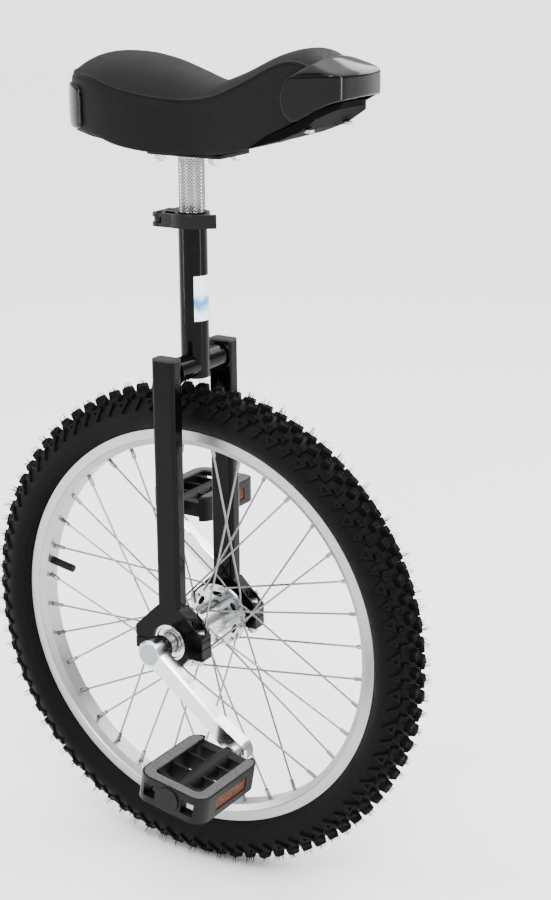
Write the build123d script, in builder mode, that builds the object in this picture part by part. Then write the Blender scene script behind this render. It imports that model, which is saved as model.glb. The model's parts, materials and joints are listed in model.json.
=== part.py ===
"""A 20-inch unicycle: fork frame, spoked wheel on direct cranks, pedals, seat post and saddle.

The origin is on the ground under the axle. +X is forward, +Y is the rider's left, +Z is up.
Sizes are in millimetres, angles in degrees. Wheel angles run from +X towards +Z.
"""
import os
from math import cos, radians, sin

from build123d import *

os.makedirs("parts", exist_ok=True)

# --- driving sizes -----------------------------------------------------------------------------
tyre_radius = 254.0          # axle height above the ground
tyre_width = 54.0
rim_radius = 209.0           # top of the rim's flange, 406 mm bead seat
rim_width = 28.0
crank_length = 127.0
crank_angle = -38.4          # right crank; the left crank is half a turn away
leg_offset = 49.0            # middle of each fork leg and bearing from the middle plane
seat_tube_length = 162.0
post_diameter = 25.4
pedal_length = 99.0
pedal_depth = 75.0
pedal_tilt = 10.0            # right pedal, front edge down
saddle_rise = 59.0           # saddle's lowest edge above the seat tube

# --- fits --------------------------------------------------------------------------------------
running_gap = 0.05           # radial, shafts that turn
sliding_gap = 0.10           # radial, the post in its tube
soft_gap = 0.3               # between soft solids and their neighbours

# --- frame -------------------------------------------------------------------------------------
seat_tube_wall = 1.2
tyre_clearance = 8.0         # under the crown
seat_tube_bottom = tyre_radius + tyre_clearance
seat_tube_top = seat_tube_bottom + seat_tube_length
clamp_slot_width = 3.0
clamp_slot_length = 36.0
crown_diameter = 24.0
crown_wall = 2.0
leg_top = seat_tube_bottom + crown_diameter + 4.0
leg_depth = 26.0             # along X
leg_width = 16.0             # along Y
leg_corner = 4.0
leg_wall = 2.0
cap_thickness = 2.0

# --- bearings and their holders ----------------------------------------------------------------
axle_diameter = 17.0
bearing_outer = 40.0
bearing_width = 12.0
ball_diameter = 6.8
ball_count = 8
holder_ring = 6.0            # wall round the bearing
holder_lip = 1.0             # side lips that keep the bearing in
lug_reach = 40.0             # tip of each lug from the axle
lug_height = 12.0            # of each half, above or below the split
holder_split = 1.0           # gap between the two halves
shoulder_height = 38.0       # where the leg stands on the holder
holder_bolt = 6.0
holder_bolt_offset = 31.0
bolt_head_width = 11.0
bolt_head_height = 5.0

# --- wheel -------------------------------------------------------------------------------------
rim_side_height = 9.5
rim_inner_radius = 193.0
rim_inner_width = 18.0
rim_wall = 1.6
bead_radius = 203.0
tyre_wall = 3.6
tread_thickness = 7.0
hub_flange_radius = 33.0
hub_flange_offset = 32.0     # middle of each flange
hub_flange_thickness = 3.0
hub_barrel_radius = 18.0
hub_barrel_wall = 3.0
spoke_circle = 29.0
spoke_diameter = 2.0
spoke_hole = 2.6
spoke_sets = 9               # four spokes each
spoke_swing = 60.0           # angle from a hub hole to its nipple
nipple_diameter = 4.0
nipple_length = 13.0
first_hole_right = 15.0
first_hole_left = 25.0
valve_angle = 170.0
valve_diameter = 8.0
valve_length = 34.0

# --- cranks and pedals -------------------------------------------------------------------------
crank_face = leg_offset + 42.0   # outer face of each arm from the middle plane
crank_thickness = 14.0
crank_boss_radius = 14.0
crank_boss_face = leg_offset + 20.0   # inner end of the boss
crank_waist = 18.0
crank_shoulder = 22.0
crank_eye_radius = 12.5
taper_square = 12.7
taper_angle = 2.0
dust_cap_diameter = 22.0
spindle_thread = 14.3
spindle_inner = 12.0
spindle_outer = 9.0
pedal_gap = 14.0             # from the crank's face to the pedal
pedal_height = 26.0
pedal_rail = 11.0

# --- saddle ------------------------------------------------------------------------------------
saddle_height = seat_tube_top + saddle_rise   # lowest edge of the saddle above the axle
post_length = 168.0
post_wall = 2.0
plate_thickness = 3.0
plate_gap = 1.0              # plate top below the saddle's lowest edge
base_thickness = 4.0
saddle_centre = -50.0        # middle of the round rear half
saddle_rear_radius = 70.0
saddle_waist = 43.0          # half-width
base_inset = 3.0
wing_thickness = 3.5
bumper_thickness = 3.5

axle_height = tyre_radius
axle_line = Axis((0, 0, axle_height), (0, -1, 0))
side_plane = Plane((0, 0, axle_height), x_dir=(1, 0, 0), z_dir=(0, -1, 0))


def save(part, name):
    """Label one finished piece and write it."""
    part.label = name
    export_step(part, f"parts/{name}.step")


def save_pair(part, name):
    """Write a right-hand piece and its mirror image for the left."""
    save(part, f"{name}_right")
    save(mirror(part, about=Plane.XZ), f"{name}_left")


def group(name, pieces):
    """Write separate solids as one node."""
    save(Compound(children=list(pieces)), name)


def level(height):
    """A horizontal plane at a height above the axle."""
    return Plane.XY.offset(axle_height + height)


def outward(offset):
    """The plane at -Y offset, with its normal away from the wheel and its origin on the axle."""
    return side_plane.offset(offset)


def wheel_point(radius, angle, across):
    """A point on the wheel from its radius, its angle and its distance along Y."""
    turn = radians(angle)
    return Vector(radius * cos(turn), across, axle_height + radius * sin(turn))


def disc(offset, radius, length, bore=0.0):
    """A round piece on the axle line, from -Y offset outwards."""
    with BuildPart() as piece:
        with BuildSketch(outward(offset)):
            Circle(radius)
            if bore:
                Circle(bore, mode=Mode.SUBTRACT)
        extrude(amount=length)
    return piece.part


# --- frame tubes -------------------------------------------------------------------------------
seat_tube_radius = post_diameter / 2 + sliding_gap + seat_tube_wall
crown_height = seat_tube_bottom + crown_diameter / 2
leg_inner = leg_offset - leg_width / 2

with BuildPart() as seat_tube:
    with BuildSketch(level(seat_tube_bottom)):
        Circle(seat_tube_radius)
        Circle(seat_tube_radius - seat_tube_wall, mode=Mode.SUBTRACT)
    extrude(amount=seat_tube_top - seat_tube_bottom)
    with BuildSketch(level(seat_tube_top)):
        with Locations((-seat_tube_radius, 0)):
            Rectangle(seat_tube_radius, clamp_slot_width)
    extrude(amount=-clamp_slot_length, mode=Mode.SUBTRACT)
save(seat_tube.part, "seat_tube")

with BuildPart() as crown_stub:
    with BuildSketch(Plane.XZ.offset(0)):
        with Locations((0, axle_height + crown_height)):
            Circle(crown_diameter / 2)
            Circle(crown_diameter / 2 - crown_wall, mode=Mode.SUBTRACT)
    extrude(amount=leg_inner)
    with BuildSketch(level(seat_tube_bottom - crown_diameter)):
        Circle(seat_tube_radius)
    extrude(amount=3 * crown_diameter, mode=Mode.SUBTRACT)
save_pair(crown_stub.part, "crown_stub")

with BuildPart() as fork_leg:
    with BuildSketch(level(shoulder_height)):
        with Locations((0, -leg_offset)):
            RectangleRounded(leg_depth, leg_width, leg_corner)
            RectangleRounded(leg_depth - 2 * leg_wall, leg_width - 2 * leg_wall, leg_corner - leg_wall,
                             mode=Mode.SUBTRACT)
    extrude(amount=leg_top - cap_thickness - shoulder_height)
save_pair(fork_leg.part, "fork_leg")

with BuildPart() as leg_cap:
    with BuildSketch(level(leg_top - cap_thickness)):
        with Locations((0, -leg_offset)):
            RectangleRounded(leg_depth, leg_width, leg_corner)
    extrude(amount=cap_thickness)
    fillet(leg_cap.edges().group_by(Axis.Z)[-1], cap_thickness / 3)
save_pair(leg_cap.part, "leg_cap")


def weld_ring(radius, bead, plane):
    """A round weld bead."""
    with BuildPart() as ring:
        with BuildSketch(plane.rotated((90, 0, 0))):
            with Locations((radius + bead / 2, 0)):
                Circle(bead)
        revolve(axis=Axis(plane.origin, plane.z_dir))
        with BuildSketch(plane.offset(-2 * bead)):
            Circle(radius)
        extrude(amount=4 * bead, mode=Mode.SUBTRACT)
    return ring.part


crown_root = Plane((0, -leg_inner, axle_height + crown_height), x_dir=(1, 0, 0), z_dir=(0, 1, 0))
with BuildPart() as leg_weld:
    add(weld_ring(crown_diameter / 2, 2.0, crown_root))
    with BuildSketch(Plane.XZ.offset(leg_inner)):
        with Locations((0, axle_height + crown_height)):
            Rectangle(3 * crown_diameter, 3 * crown_diameter)
    extrude(amount=leg_width, mode=Mode.SUBTRACT)
    split(bisect_by=Plane.XY.offset(axle_height + leg_top - cap_thickness - 1), keep=Keep.BOTTOM)
group("crown_welds", [leg_weld.part, mirror(leg_weld.part, about=Plane.XZ)])

# --- bearing holders ---------------------------------------------------------------------------
bearing_radius = bearing_outer / 2
bearing_inner_face = leg_offset - bearing_width / 2
holder_radius = bearing_radius + holder_ring


def holder_half(upper):
    """Half a bearing holder: a half ring between two lugs, with a bolt hole in each."""
    way = 1 if upper else -1
    split_line = way * holder_split / 2
    with BuildPart() as half:
        with BuildSketch(outward(leg_inner)):
            with BuildLine():
                if upper:
                    outline = [(-lug_reach, split_line), (-lug_reach, lug_height),
                               (-leg_depth / 2, shoulder_height), (leg_depth / 2, shoulder_height),
                               (lug_reach, lug_height), (lug_reach, split_line)]
                else:
                    outline = [(-lug_reach, split_line), (-lug_reach, -lug_height),
                               (-holder_radius * 0.8, -lug_height), (0, -holder_radius),
                               (holder_radius * 0.8, -lug_height), (lug_reach, -lug_height),
                               (lug_reach, split_line)]
                Polyline(*outline, close=True)
            make_face()
            if not upper:
                Circle(holder_radius)
                with Locations((0, holder_radius + split_line)):
                    Rectangle(4 * holder_radius, 2 * holder_radius, mode=Mode.SUBTRACT)
            Circle(bearing_radius - holder_lip, mode=Mode.SUBTRACT)
        extrude(amount=leg_width)
        with BuildSketch(outward(bearing_inner_face)):
            Circle(bearing_radius)
        extrude(amount=bearing_width, mode=Mode.SUBTRACT)
        with BuildSketch(level(0)):
            with Locations((-holder_bolt_offset, -leg_offset), (holder_bolt_offset, -leg_offset)):
                Circle(holder_bolt / 2)
        extrude(amount=holder_radius, both=True, mode=Mode.SUBTRACT)
        if upper:
            with BuildSketch(level(lug_height)):
                with Locations((-holder_bolt_offset, -leg_offset), (holder_bolt_offset, -leg_offset)):
                    Circle(bolt_head_width / 2 + 1.5)
            extrude(amount=holder_radius, mode=Mode.SUBTRACT)
    return half.part


save_pair(holder_half(True), "holder_upper")
save_pair(holder_half(False), "holder_lower")

bolt_spots = [(x, y) for x in (-holder_bolt_offset, holder_bolt_offset) for y in (-leg_offset, leg_offset)]


def hex_block(x, y, height, width, thickness):
    """A hexagonal head or nut that stands on a height above the axle."""
    with BuildPart() as block:
        with BuildSketch(level(height)):
            with Locations((x, y)):
                RegularPolygon(width / 2, 6, major_radius=False)
        extrude(amount=thickness)
        chamfer(block.edges().group_by(Axis.Z)[-1], 0.5)
    return block.part


def rod(x, y, low, high, diameter, bore=0.0):
    """An upright round rod or sleeve between two heights above the axle."""
    with BuildPart() as piece:
        with BuildSketch(level(low)):
            with Locations((x, y)):
                Circle(diameter / 2)
                if bore:
                    Circle(bore / 2, mode=Mode.SUBTRACT)
        extrude(amount=high - low)
    return piece.part


nut_height = 5.0
bolt_tail = 3.0


def holder_bolt_piece(x, y):
    with BuildPart() as bolt:
        add(hex_block(x, y, lug_height, bolt_head_width, bolt_head_height))
        add(rod(x, y, -lug_height - nut_height - bolt_tail, lug_height, holder_bolt))
    return bolt.part


def nut_piece(x, y, height, diameter, width):
    with BuildPart() as nut:
        add(hex_block(x, y, height, width, nut_height))
        add(rod(x, y, height, height + nut_height, diameter), mode=Mode.SUBTRACT)
    return nut.part


group("holder_bolts", [holder_bolt_piece(x, y) for x, y in bolt_spots])
group("holder_nuts", [nut_piece(x, y, -lug_height - nut_height, holder_bolt, bolt_head_width)
                      for x, y in bolt_spots])

# --- bearings ----------------------------------------------------------------------------------
axle_radius = axle_diameter / 2
ball_circle = (bearing_radius + axle_radius) / 2 + 0.1
race_gap = ball_diameter / 2 - 1.3


def race(inner, outer):
    """One bearing race with its ball groove."""
    with BuildPart() as ring:
        add(disc(bearing_inner_face, outer, bearing_width, inner))
        with BuildSketch(Plane.YZ):
            with Locations((-leg_offset, axle_height + ball_circle)):
                Circle(ball_diameter / 2 + running_gap)
        revolve(axis=axle_line, mode=Mode.SUBTRACT)
    return ring.part


save_pair(race(ball_circle + race_gap, bearing_radius), "bearing_outer_race")
save_pair(race(axle_radius, ball_circle - race_gap), "bearing_inner_race")


def ball_cage():
    """The balls, each in its pocket of a flat ring cage."""
    pieces = []
    with BuildPart() as cage:
        add(disc(leg_offset + 2.9, ball_circle + race_gap - 0.6, 1, ball_circle - race_gap + 0.6))
        for index in range(ball_count):
            angle = 360 / ball_count * index
            with Locations(wheel_point(ball_circle, angle, -leg_offset)):
                Sphere(ball_diameter / 2, mode=Mode.SUBTRACT)
    pieces += cage.part.solids()
    for index in range(ball_count):
        with BuildPart() as ball:
            with Locations(wheel_point(ball_circle, 360 / ball_count * index, -leg_offset)):
                Sphere(ball_diameter / 2)
        pieces.append(ball.part)
    return pieces


right_cage = ball_cage()
left_cage = [mirror(piece, about=Plane.XZ) for piece in right_cage]
group("bearing_balls_right", right_cage)
group("bearing_balls_left", left_cage)

# --- hub ---------------------------------------------------------------------------------------
flange_inner = hub_flange_offset - hub_flange_thickness / 2
flange_outer = hub_flange_offset + hub_flange_thickness / 2
inner_race_radius = ball_circle - race_gap
hub_slots = 6

with BuildPart() as hub_shell:
    with BuildSketch(Plane.YZ):
        with BuildLine():
            Polyline(*[(way * y, axle_height + r) for way, run in (
                (1, [(flange_inner - hub_barrel_wall, axle_radius),
                     (bearing_inner_face, axle_radius),
                     (bearing_inner_face, inner_race_radius - 0.5), (flange_outer + 1.5, hub_barrel_radius - 2),
                     (flange_outer, hub_barrel_radius), (flange_outer, hub_flange_radius),
                     (flange_inner, hub_flange_radius), (flange_inner, hub_barrel_radius)]),
                (-1, [(flange_inner, hub_barrel_radius), (flange_inner, hub_flange_radius),
                      (flange_outer, hub_flange_radius), (flange_outer, hub_barrel_radius),
                      (flange_outer + 1.5, hub_barrel_radius - 2), (bearing_inner_face, inner_race_radius - 0.5),
                      (bearing_inner_face, axle_radius), (flange_inner - hub_barrel_wall, axle_radius),
                      (flange_inner - hub_barrel_wall, hub_barrel_radius - hub_barrel_wall)])) for y, r in run],
                (flange_inner - hub_barrel_wall, axle_height + hub_barrel_radius - hub_barrel_wall), close=True)
        make_face()
    revolve(axis=axle_line)
    for offset, first in ((flange_inner, first_hole_right), (-flange_outer, first_hole_left)):
        with BuildSketch(outward(offset)):
            with PolarLocations(spoke_circle, 2 * spoke_sets, start_angle=first):
                Circle(spoke_hole / 2)
            with PolarLocations((hub_barrel_radius + spoke_circle) / 2 - 0.5, hub_slots, start_angle=first + 5):
                SlotOverall(12, 5, rotation=90)
        extrude(amount=hub_flange_thickness, mode=Mode.SUBTRACT)
save(hub_shell.part, "hub_shell")

taper_start = crank_boss_face
taper_end = crank_face - 5
with BuildPart() as axle:
    add(disc(-taper_start, axle_radius, 2 * taper_start))
    with BuildSketch(outward(taper_start)):
        Rectangle(taper_square, taper_square, rotation=crank_angle)
    extrude(amount=taper_end - taper_start, taper=taper_angle)
    with BuildSketch(outward(-taper_start)):
        Rectangle(taper_square, taper_square, rotation=crank_angle)
    extrude(amount=-(taper_end - taper_start), taper=taper_angle)
save(axle.part, "axle")

spacer_radius = inner_race_radius
save_pair(disc(bearing_inner_face + bearing_width, spacer_radius, 4, axle_radius), "axle_spacer")

# --- rim and tyre ------------------------------------------------------------------------------
rim_half = rim_width / 2
well_half = rim_inner_width / 2
bead_half = rim_half - rim_wall


def mirrored(points):
    """The same points on the other side of the middle plane, in reverse order."""
    return [(-y, r) for y, r in reversed(points)]


def wheel_section(points):
    """The points of a wheel section, from (across, radius) to the section plane."""
    return [(y, axle_height + r) for y, r in points]


rim_outside = [(rim_half, rim_radius), (rim_half, rim_radius - rim_side_height),
               (rim_half - 1.0, rim_radius - rim_side_height - 0.8), (well_half, rim_inner_radius)]
rim_inside = [(well_half - 0.8, rim_inner_radius + rim_wall), (bead_half - 1.2, bead_radius - 1.2),
              (bead_half, bead_radius), (bead_half, rim_radius)]
with BuildPart() as rim:
    with BuildSketch(Plane.YZ):
        with BuildLine():
            Polyline(*wheel_section(rim_outside + mirrored(rim_outside)
                                    + [(-y, r) for y, r in reversed(rim_inside)] + rim_inside), close=True)
        make_face()
    revolve(axis=axle_line)
    for index in range(4 * spoke_sets):
        hole_angle = first_hole_right + 360 / (4 * spoke_sets) * index
        spot = wheel_point(rim_inner_radius - 2, hole_angle, 0)
        with Locations(Plane(spot, z_dir=spot - wheel_point(0, 0, 0))):
            Cylinder(nipple_diameter / 2 + 0.5, 6, mode=Mode.SUBTRACT,
                     align=(Align.CENTER, Align.CENTER, Align.MIN))
    valve_spot = wheel_point(rim_inner_radius - 2, valve_angle, 0)
    with Locations(Plane(valve_spot, z_dir=valve_spot - wheel_point(0, 0, 0))):
        Cylinder(valve_diameter / 2, 6, mode=Mode.SUBTRACT, align=(Align.CENTER, Align.CENTER, Align.MIN))
save(rim.part, "rim")

belly_radius = rim_radius + (tyre_radius - rim_radius) * 0.46
tyre_half = tyre_width / 2
crown_inner = tyre_radius - tread_thickness
belly_inner = tyre_half - tyre_wall


with BuildPart() as tyre:
    with BuildSketch(Plane.YZ):
        with BuildLine():
            for half, crown, seat in ((tyre_half, tyre_radius, bead_half),
                                      (belly_inner, crown_inner, bead_half - tyre_wall)):
                EllipticalCenterArc((0, axle_height + belly_radius), half, crown - belly_radius, start_angle=0,
                                    arc_size=180)
                for way in (1, -1):
                    foot, edge, middle, belly = wheel_section([
                        (way * seat, bead_radius + 0.2), (way * seat, rim_radius + 0.8),
                        (way * (seat + (half - seat) * 0.72), rim_radius + (belly_radius - rim_radius) * 0.4),
                        (way * half, belly_radius)])
                    Line(foot, edge)
                    ThreePointArc(edge, middle, belly)
            for way in (1, -1):
                Line((way * bead_half, axle_height + bead_radius + 0.2),
                     (way * (bead_half - tyre_wall), axle_height + bead_radius + 0.2))
        make_face()
    revolve(axis=axle_line)
save(tyre.part, "tyre")

tape_radius = rim_inner_radius + rim_wall + 2.2
with BuildPart() as rim_tape:
    with BuildSketch(Plane.YZ):
        with Locations((0, axle_height + tape_radius + 0.5)):
            Rectangle(rim_inner_width - 2, 1.0)
    revolve(axis=axle_line)
    with Locations(Plane(valve_spot, z_dir=valve_spot - wheel_point(0, 0, 0))):
        Cylinder(valve_diameter / 2, 20, mode=Mode.SUBTRACT, align=(Align.CENTER, Align.CENTER, Align.MIN))
save(rim_tape.part, "rim_tape")

tube_across = belly_inner - soft_gap
tube_height = crown_inner - soft_gap - belly_radius
tube_skin = 1.2
with BuildPart() as inner_tube:
    with BuildSketch(Plane.YZ):
        with Locations((0, axle_height + belly_radius)):
            Ellipse(tube_across, tube_height)
            Ellipse(tube_across - tube_skin, tube_height - tube_skin, mode=Mode.SUBTRACT)
    revolve(axis=axle_line)
    with Locations(Plane(valve_spot, z_dir=valve_spot - wheel_point(0, 0, 0))):
        Cylinder(valve_diameter / 2, belly_radius - rim_inner_radius, mode=Mode.SUBTRACT,
                 align=(Align.CENTER, Align.CENTER, Align.MIN))
save(inner_tube.part, "inner_tube")

tube_floor = belly_radius - tube_height
valve_tip = rim_inner_radius + 8 - valve_length
valve_plane = Plane(wheel_point(valve_tip, valve_angle, 0),
                    z_dir=wheel_point(rim_radius, valve_angle, 0) - wheel_point(0, 0, 0))
with BuildPart() as valve_stem:
    with BuildSketch(valve_plane):
        Circle(valve_diameter / 2)
    extrude(amount=tube_floor + 2 - valve_tip)
    with BuildSketch(valve_plane):
        Circle(valve_diameter / 2)
        Circle(valve_diameter / 2 - 1.2, mode=Mode.SUBTRACT)
    extrude(amount=9, mode=Mode.SUBTRACT)
    with BuildSketch(valve_plane):
        Circle(1.5)
    extrude(amount=tube_floor + 2 - valve_tip, mode=Mode.SUBTRACT)
save(valve_stem.part, "valve_stem")

cap_length = 11.0
cap_wall = 1.2
with BuildPart() as valve_cap:
    with BuildSketch(valve_plane.offset(9 - cap_length)):
        Circle(valve_diameter / 2)
    extrude(amount=cap_length)
    with BuildSketch(valve_plane.offset(9 - cap_length + 1.5)):
        Circle(valve_diameter / 2 - cap_wall)
    extrude(amount=cap_length, mode=Mode.SUBTRACT)
save(valve_cap.part, "valve_cap")

# --- spokes and nipples ------------------------------------------------------------------------
spoke_radius = spoke_diameter / 2
nipple_seat = rim_inner_radius + rim_wall
elbow_run = 16.0             # straight stretch beside the flange before the spoke bends to the rim


def spoke_path(hole, way, outside, side):
    """Head, elbow, bend and rim end of one spoke; side is -1 right, 1 left."""
    lay = flange_outer + spoke_radius + 0.1 if outside else flange_inner - spoke_radius - 0.1
    head = flange_inner - 0.8 if outside else flange_outer + 0.8
    rim_end = wheel_point(nipple_seat, hole + way * spoke_swing, 0)
    elbow = wheel_point(spoke_circle, hole, side * lay)
    run = Vector(rim_end.X - elbow.X, 0, rim_end.Z - elbow.Z).normalized()
    return [wheel_point(spoke_circle, hole, side * head), elbow, elbow + run * elbow_run, rim_end]


def spoke_and_nipple(hole, way, outside, side):
    path = spoke_path(hole, way, outside, side)
    with BuildPart() as spoke:
        with BuildLine() as route:
            FilletPolyline(*path, radius=spoke_diameter * 1.1)
        with BuildSketch(Plane(path[0], z_dir=path[1] - path[0])):
            Circle(spoke_radius)
        sweep(path=route.line)
        with BuildSketch(Plane(path[0], z_dir=path[1] - path[0])):
            Circle(spoke_diameter * 0.95)
        extrude(amount=-0.8)
        with BuildSketch(Plane(path[0], z_dir=path[1] - path[0])):
            Circle(spoke_diameter * 0.95)
        extrude(amount=0.8)
    inward = path[2] - path[3]
    radial = wheel_point(nipple_seat + 1, hole + way * spoke_swing, 0) - path[3]
    with BuildPart() as nipple:
        with BuildSketch(Plane(path[3], z_dir=inward)):
            Circle(nipple_diameter / 2)
        extrude(amount=nipple_length)
        with BuildSketch(Plane(path[3] + radial * 0.05, z_dir=radial)):
            Circle(nipple_diameter * 0.75)
        extrude(amount=1.8)
        with BuildSketch(Plane(path[3] + inward.normalized() * nipple_length * 1.2, z_dir=-inward)):
            Circle(spoke_radius)
        extrude(amount=nipple_length * 1.2, mode=Mode.SUBTRACT)
    return spoke.part, nipple.part


spoke_parts = []
nipple_parts = []
spoke_step = 360 / spoke_sets
for side, first in ((-1, first_hole_right), (1, first_hole_left)):
    for hole, way, outside in ((first, 1, True), (first + spoke_step / 2, -1, False)):
        pair = spoke_and_nipple(hole, way, outside, side)
        for index in range(spoke_sets):
            spoke_parts.append(pair[0].rotate(axle_line, spoke_step * index))
            nipple_parts.append(pair[1].rotate(axle_line, spoke_step * index))
group("spokes", spoke_parts)
group("spoke_nipples", nipple_parts)

# --- cranks ------------------------------------------------------------------------------------
crank_plane = Plane((0, 0, axle_height), x_dir=(cos(radians(crank_angle)), 0, sin(radians(crank_angle))),
                    z_dir=(0, -1, 0))
arm_inner = crank_face - crank_thickness

with BuildPart() as crank:
    with BuildSketch(crank_plane.offset(arm_inner)):
        Circle(crank_boss_radius)
        with Locations((crank_length, 0)):
            Circle(crank_eye_radius)
        with BuildLine():
            waist_at = crank_length * 0.72
            Polyline((0, crank_shoulder / 2), (waist_at, crank_waist / 2),
                     (crank_length, crank_eye_radius), (crank_length, -crank_eye_radius),
                     (waist_at, -crank_waist / 2), (0, -crank_shoulder / 2), close=True)
        make_face()
    extrude(amount=crank_thickness)
    fillet(crank.edges().filter_by(Axis.Y), 5.0)
    chamfer(crank.faces().sort_by(Axis.Y)[0].edges(), 2.0)
    chamfer(crank.faces().sort_by(Axis.Y)[-1].edges(), 1.0)
    with BuildSketch(crank_plane.offset(crank_boss_face)):
        Circle(crank_boss_radius - 1)
    extrude(amount=arm_inner - crank_boss_face + 2)
    with BuildSketch(crank_plane.offset(crank_boss_face)):
        Rectangle(taper_square, taper_square)
    extrude(amount=taper_end - taper_start, taper=taper_angle, mode=Mode.SUBTRACT)
    with BuildSketch(crank_plane.offset(taper_end)):
        Circle(dust_cap_diameter / 2)
    extrude(amount=crank_face - taper_end, mode=Mode.SUBTRACT)
    with BuildSketch(crank_plane.offset(arm_inner)):
        with Locations((crank_length, 0)):
            Circle(spindle_thread / 2)
    extrude(amount=crank_thickness, mode=Mode.SUBTRACT)
save(crank.part, "crank_right")
save(mirror(crank.part, about=Plane.XZ).rotate(axle_line, 180), "crank_left")

crank_screw_head = disc(taper_end, 7.0, 2.5)
group("crank_bolts", [crank_screw_head, mirror(crank_screw_head, about=Plane.XZ)])
with BuildPart() as dust_cap:
    add(disc(crank_face - 2, dust_cap_diameter / 2, 2.6))
    fillet(dust_cap.faces().sort_by(Axis.Y)[0].edges(), 0.6)
group("dust_caps", [dust_cap.part, mirror(dust_cap.part, about=Plane.XZ)])

# --- pedals, drawn about their own spindle line ------------------------------------------------
pedal_inner = crank_face + pedal_gap
pedal_outer = pedal_inner + pedal_length
half_height = pedal_height / 2
half_depth = pedal_depth / 2
tube_radius = 12.0
step_at = pedal_inner + pedal_length * 0.5
grip_thickness = 2.0
grip_inset = 2.0
grip_width = pedal_rail - 2 * grip_inset + 2.5
reflector_length = 50.0
reflector_height = 13.0
reflector_depth = 3.5
end_cap_radius = 12.0


def across_plane(offset):
    """A plane square to the spindle line at -Y offset, normal outwards."""
    return Plane((0, -offset, 0), x_dir=(1, 0, 0), z_dir=(0, -1, 0))


def pedal_outline(grow):
    """The pedal's rounded plan, open for use inside a sketch."""
    with Locations((0, -(pedal_inner + pedal_outer) / 2)):
        RectangleRounded(pedal_depth + 2 * grow, pedal_length + 2 * grow, 15 + grow)


def grip_sketch(plane):
    """The U of grip tape round the front, outer and rear rails."""
    with BuildSketch(plane) as grip:
        pedal_outline(-grip_inset)
        with Locations((0, -(pedal_inner + pedal_outer) / 2)):
            RectangleRounded(pedal_depth - 2 * (grip_inset + grip_width),
                             pedal_length - 2 * (grip_inset + grip_width), 6, mode=Mode.SUBTRACT)
        with Locations((0, -pedal_inner)):
            Rectangle(pedal_depth - 2 * (grip_inset + grip_width), 4 * grip_width, mode=Mode.SUBTRACT)
            Rectangle(pedal_depth, 12, mode=Mode.SUBTRACT)
    return grip.sketch


with BuildPart() as pedal_body:
    with BuildSketch(Plane.XY.offset(-half_height)):
        pedal_outline(0)
        with Locations((0, -(pedal_inner + pedal_outer) / 2)):
            RectangleRounded(pedal_depth - 2 * pedal_rail, pedal_length - 2 * pedal_rail, 5,
                             mode=Mode.SUBTRACT)
    extrude(amount=pedal_height)
    with BuildSketch(Plane.XY.offset(half_height)):
        with Locations((0, -pedal_inner)):
            Rectangle(pedal_depth - 2 * pedal_rail, 2 * pedal_rail + 2)
    extrude(amount=-5, mode=Mode.SUBTRACT)
    with BuildSketch(Plane.XY.offset(-half_height)):
        with Locations((0, -pedal_inner)):
            Rectangle(pedal_depth - 2 * pedal_rail, 2 * pedal_rail + 2)
    extrude(amount=5, mode=Mode.SUBTRACT)
    with BuildSketch(across_plane(pedal_inner)):
        Circle(tube_radius - 2)
    extrude(amount=pedal_length - 1)
    for rib in (0.3, 0.55, 0.78):
        with Locations((0, -(pedal_inner + pedal_length * rib), 0)):
            Box(pedal_depth - pedal_rail, 2.5, pedal_height * 0.62)
    for reach in (-half_depth, half_depth):
        with Locations((reach, -(pedal_inner + pedal_outer) / 2, 0)):
            Box(2 * reflector_depth, reflector_length, reflector_height, mode=Mode.SUBTRACT)
    for reach in (-21, 21):
        with Locations((reach, -pedal_outer, 0)):
            Box(13, 3 * pedal_rail, 13, mode=Mode.SUBTRACT)
    for way in (1, -1):
        add(grip_sketch(Plane.XY.offset(way * half_height)))
        extrude(amount=-way * (grip_thickness - 0.8), mode=Mode.SUBTRACT)
    with BuildSketch(across_plane(pedal_inner)):
        Circle(spindle_inner / 2 + running_gap)
    extrude(amount=step_at - pedal_inner, mode=Mode.SUBTRACT)
    with BuildSketch(across_plane(step_at)):
        Circle(spindle_outer / 2 + running_gap)
    extrude(amount=pedal_outer - step_at, mode=Mode.SUBTRACT)
    with BuildSketch(across_plane(pedal_outer - 9)):
        Circle(8)
    extrude(amount=9, mode=Mode.SUBTRACT)

grip_parts = []
for way in (1, -1):
    with BuildPart() as grip_part:
        add(grip_sketch(Plane.XY.offset(way * (half_height - grip_thickness + 0.8))))
        extrude(amount=way * grip_thickness)
    grip_parts += grip_part.part.solids()

reflector_parts = []
for way in (1, -1):
    with BuildPart() as reflector:
        with Locations((way * (half_depth - reflector_depth + 1.25), -(pedal_inner + pedal_outer) / 2, 0)):
            Box(2.5, reflector_length, reflector_height)
    reflector_parts.append(reflector.part)

with BuildPart() as end_cap:
    with BuildSketch(across_plane(pedal_outer - 4)):
        Circle(8)
    extrude(amount=4)
    with BuildSketch(across_plane(pedal_outer)):
        Circle(end_cap_radius)
    extrude(amount=1.5)
    fillet(end_cap.faces().sort_by(Axis.Y)[0].edges(), 0.6)

with BuildPart() as spindle:
    with BuildSketch(across_plane(arm_inner)):
        Circle(spindle_thread / 2)
    extrude(amount=crank_thickness)
    with BuildSketch(across_plane(crank_face)):
        Circle(9)
    extrude(amount=pedal_gap - 4)
    with BuildSketch(across_plane(crank_face + 3)):
        Rectangle(30, 30)
        Rectangle(15, 30, mode=Mode.SUBTRACT)
    extrude(amount=5, mode=Mode.SUBTRACT)
    with BuildSketch(across_plane(crank_face)):
        Circle(spindle_inner / 2)
    extrude(amount=step_at - 0.3 - crank_face)
    with BuildSketch(across_plane(crank_face)):
        Circle(spindle_outer / 2)
    extrude(amount=pedal_outer - 9.5 - crank_face)
    with BuildSketch(across_plane(pedal_outer - 9.5)):
        Circle(3)
    extrude(amount=5)

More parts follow.
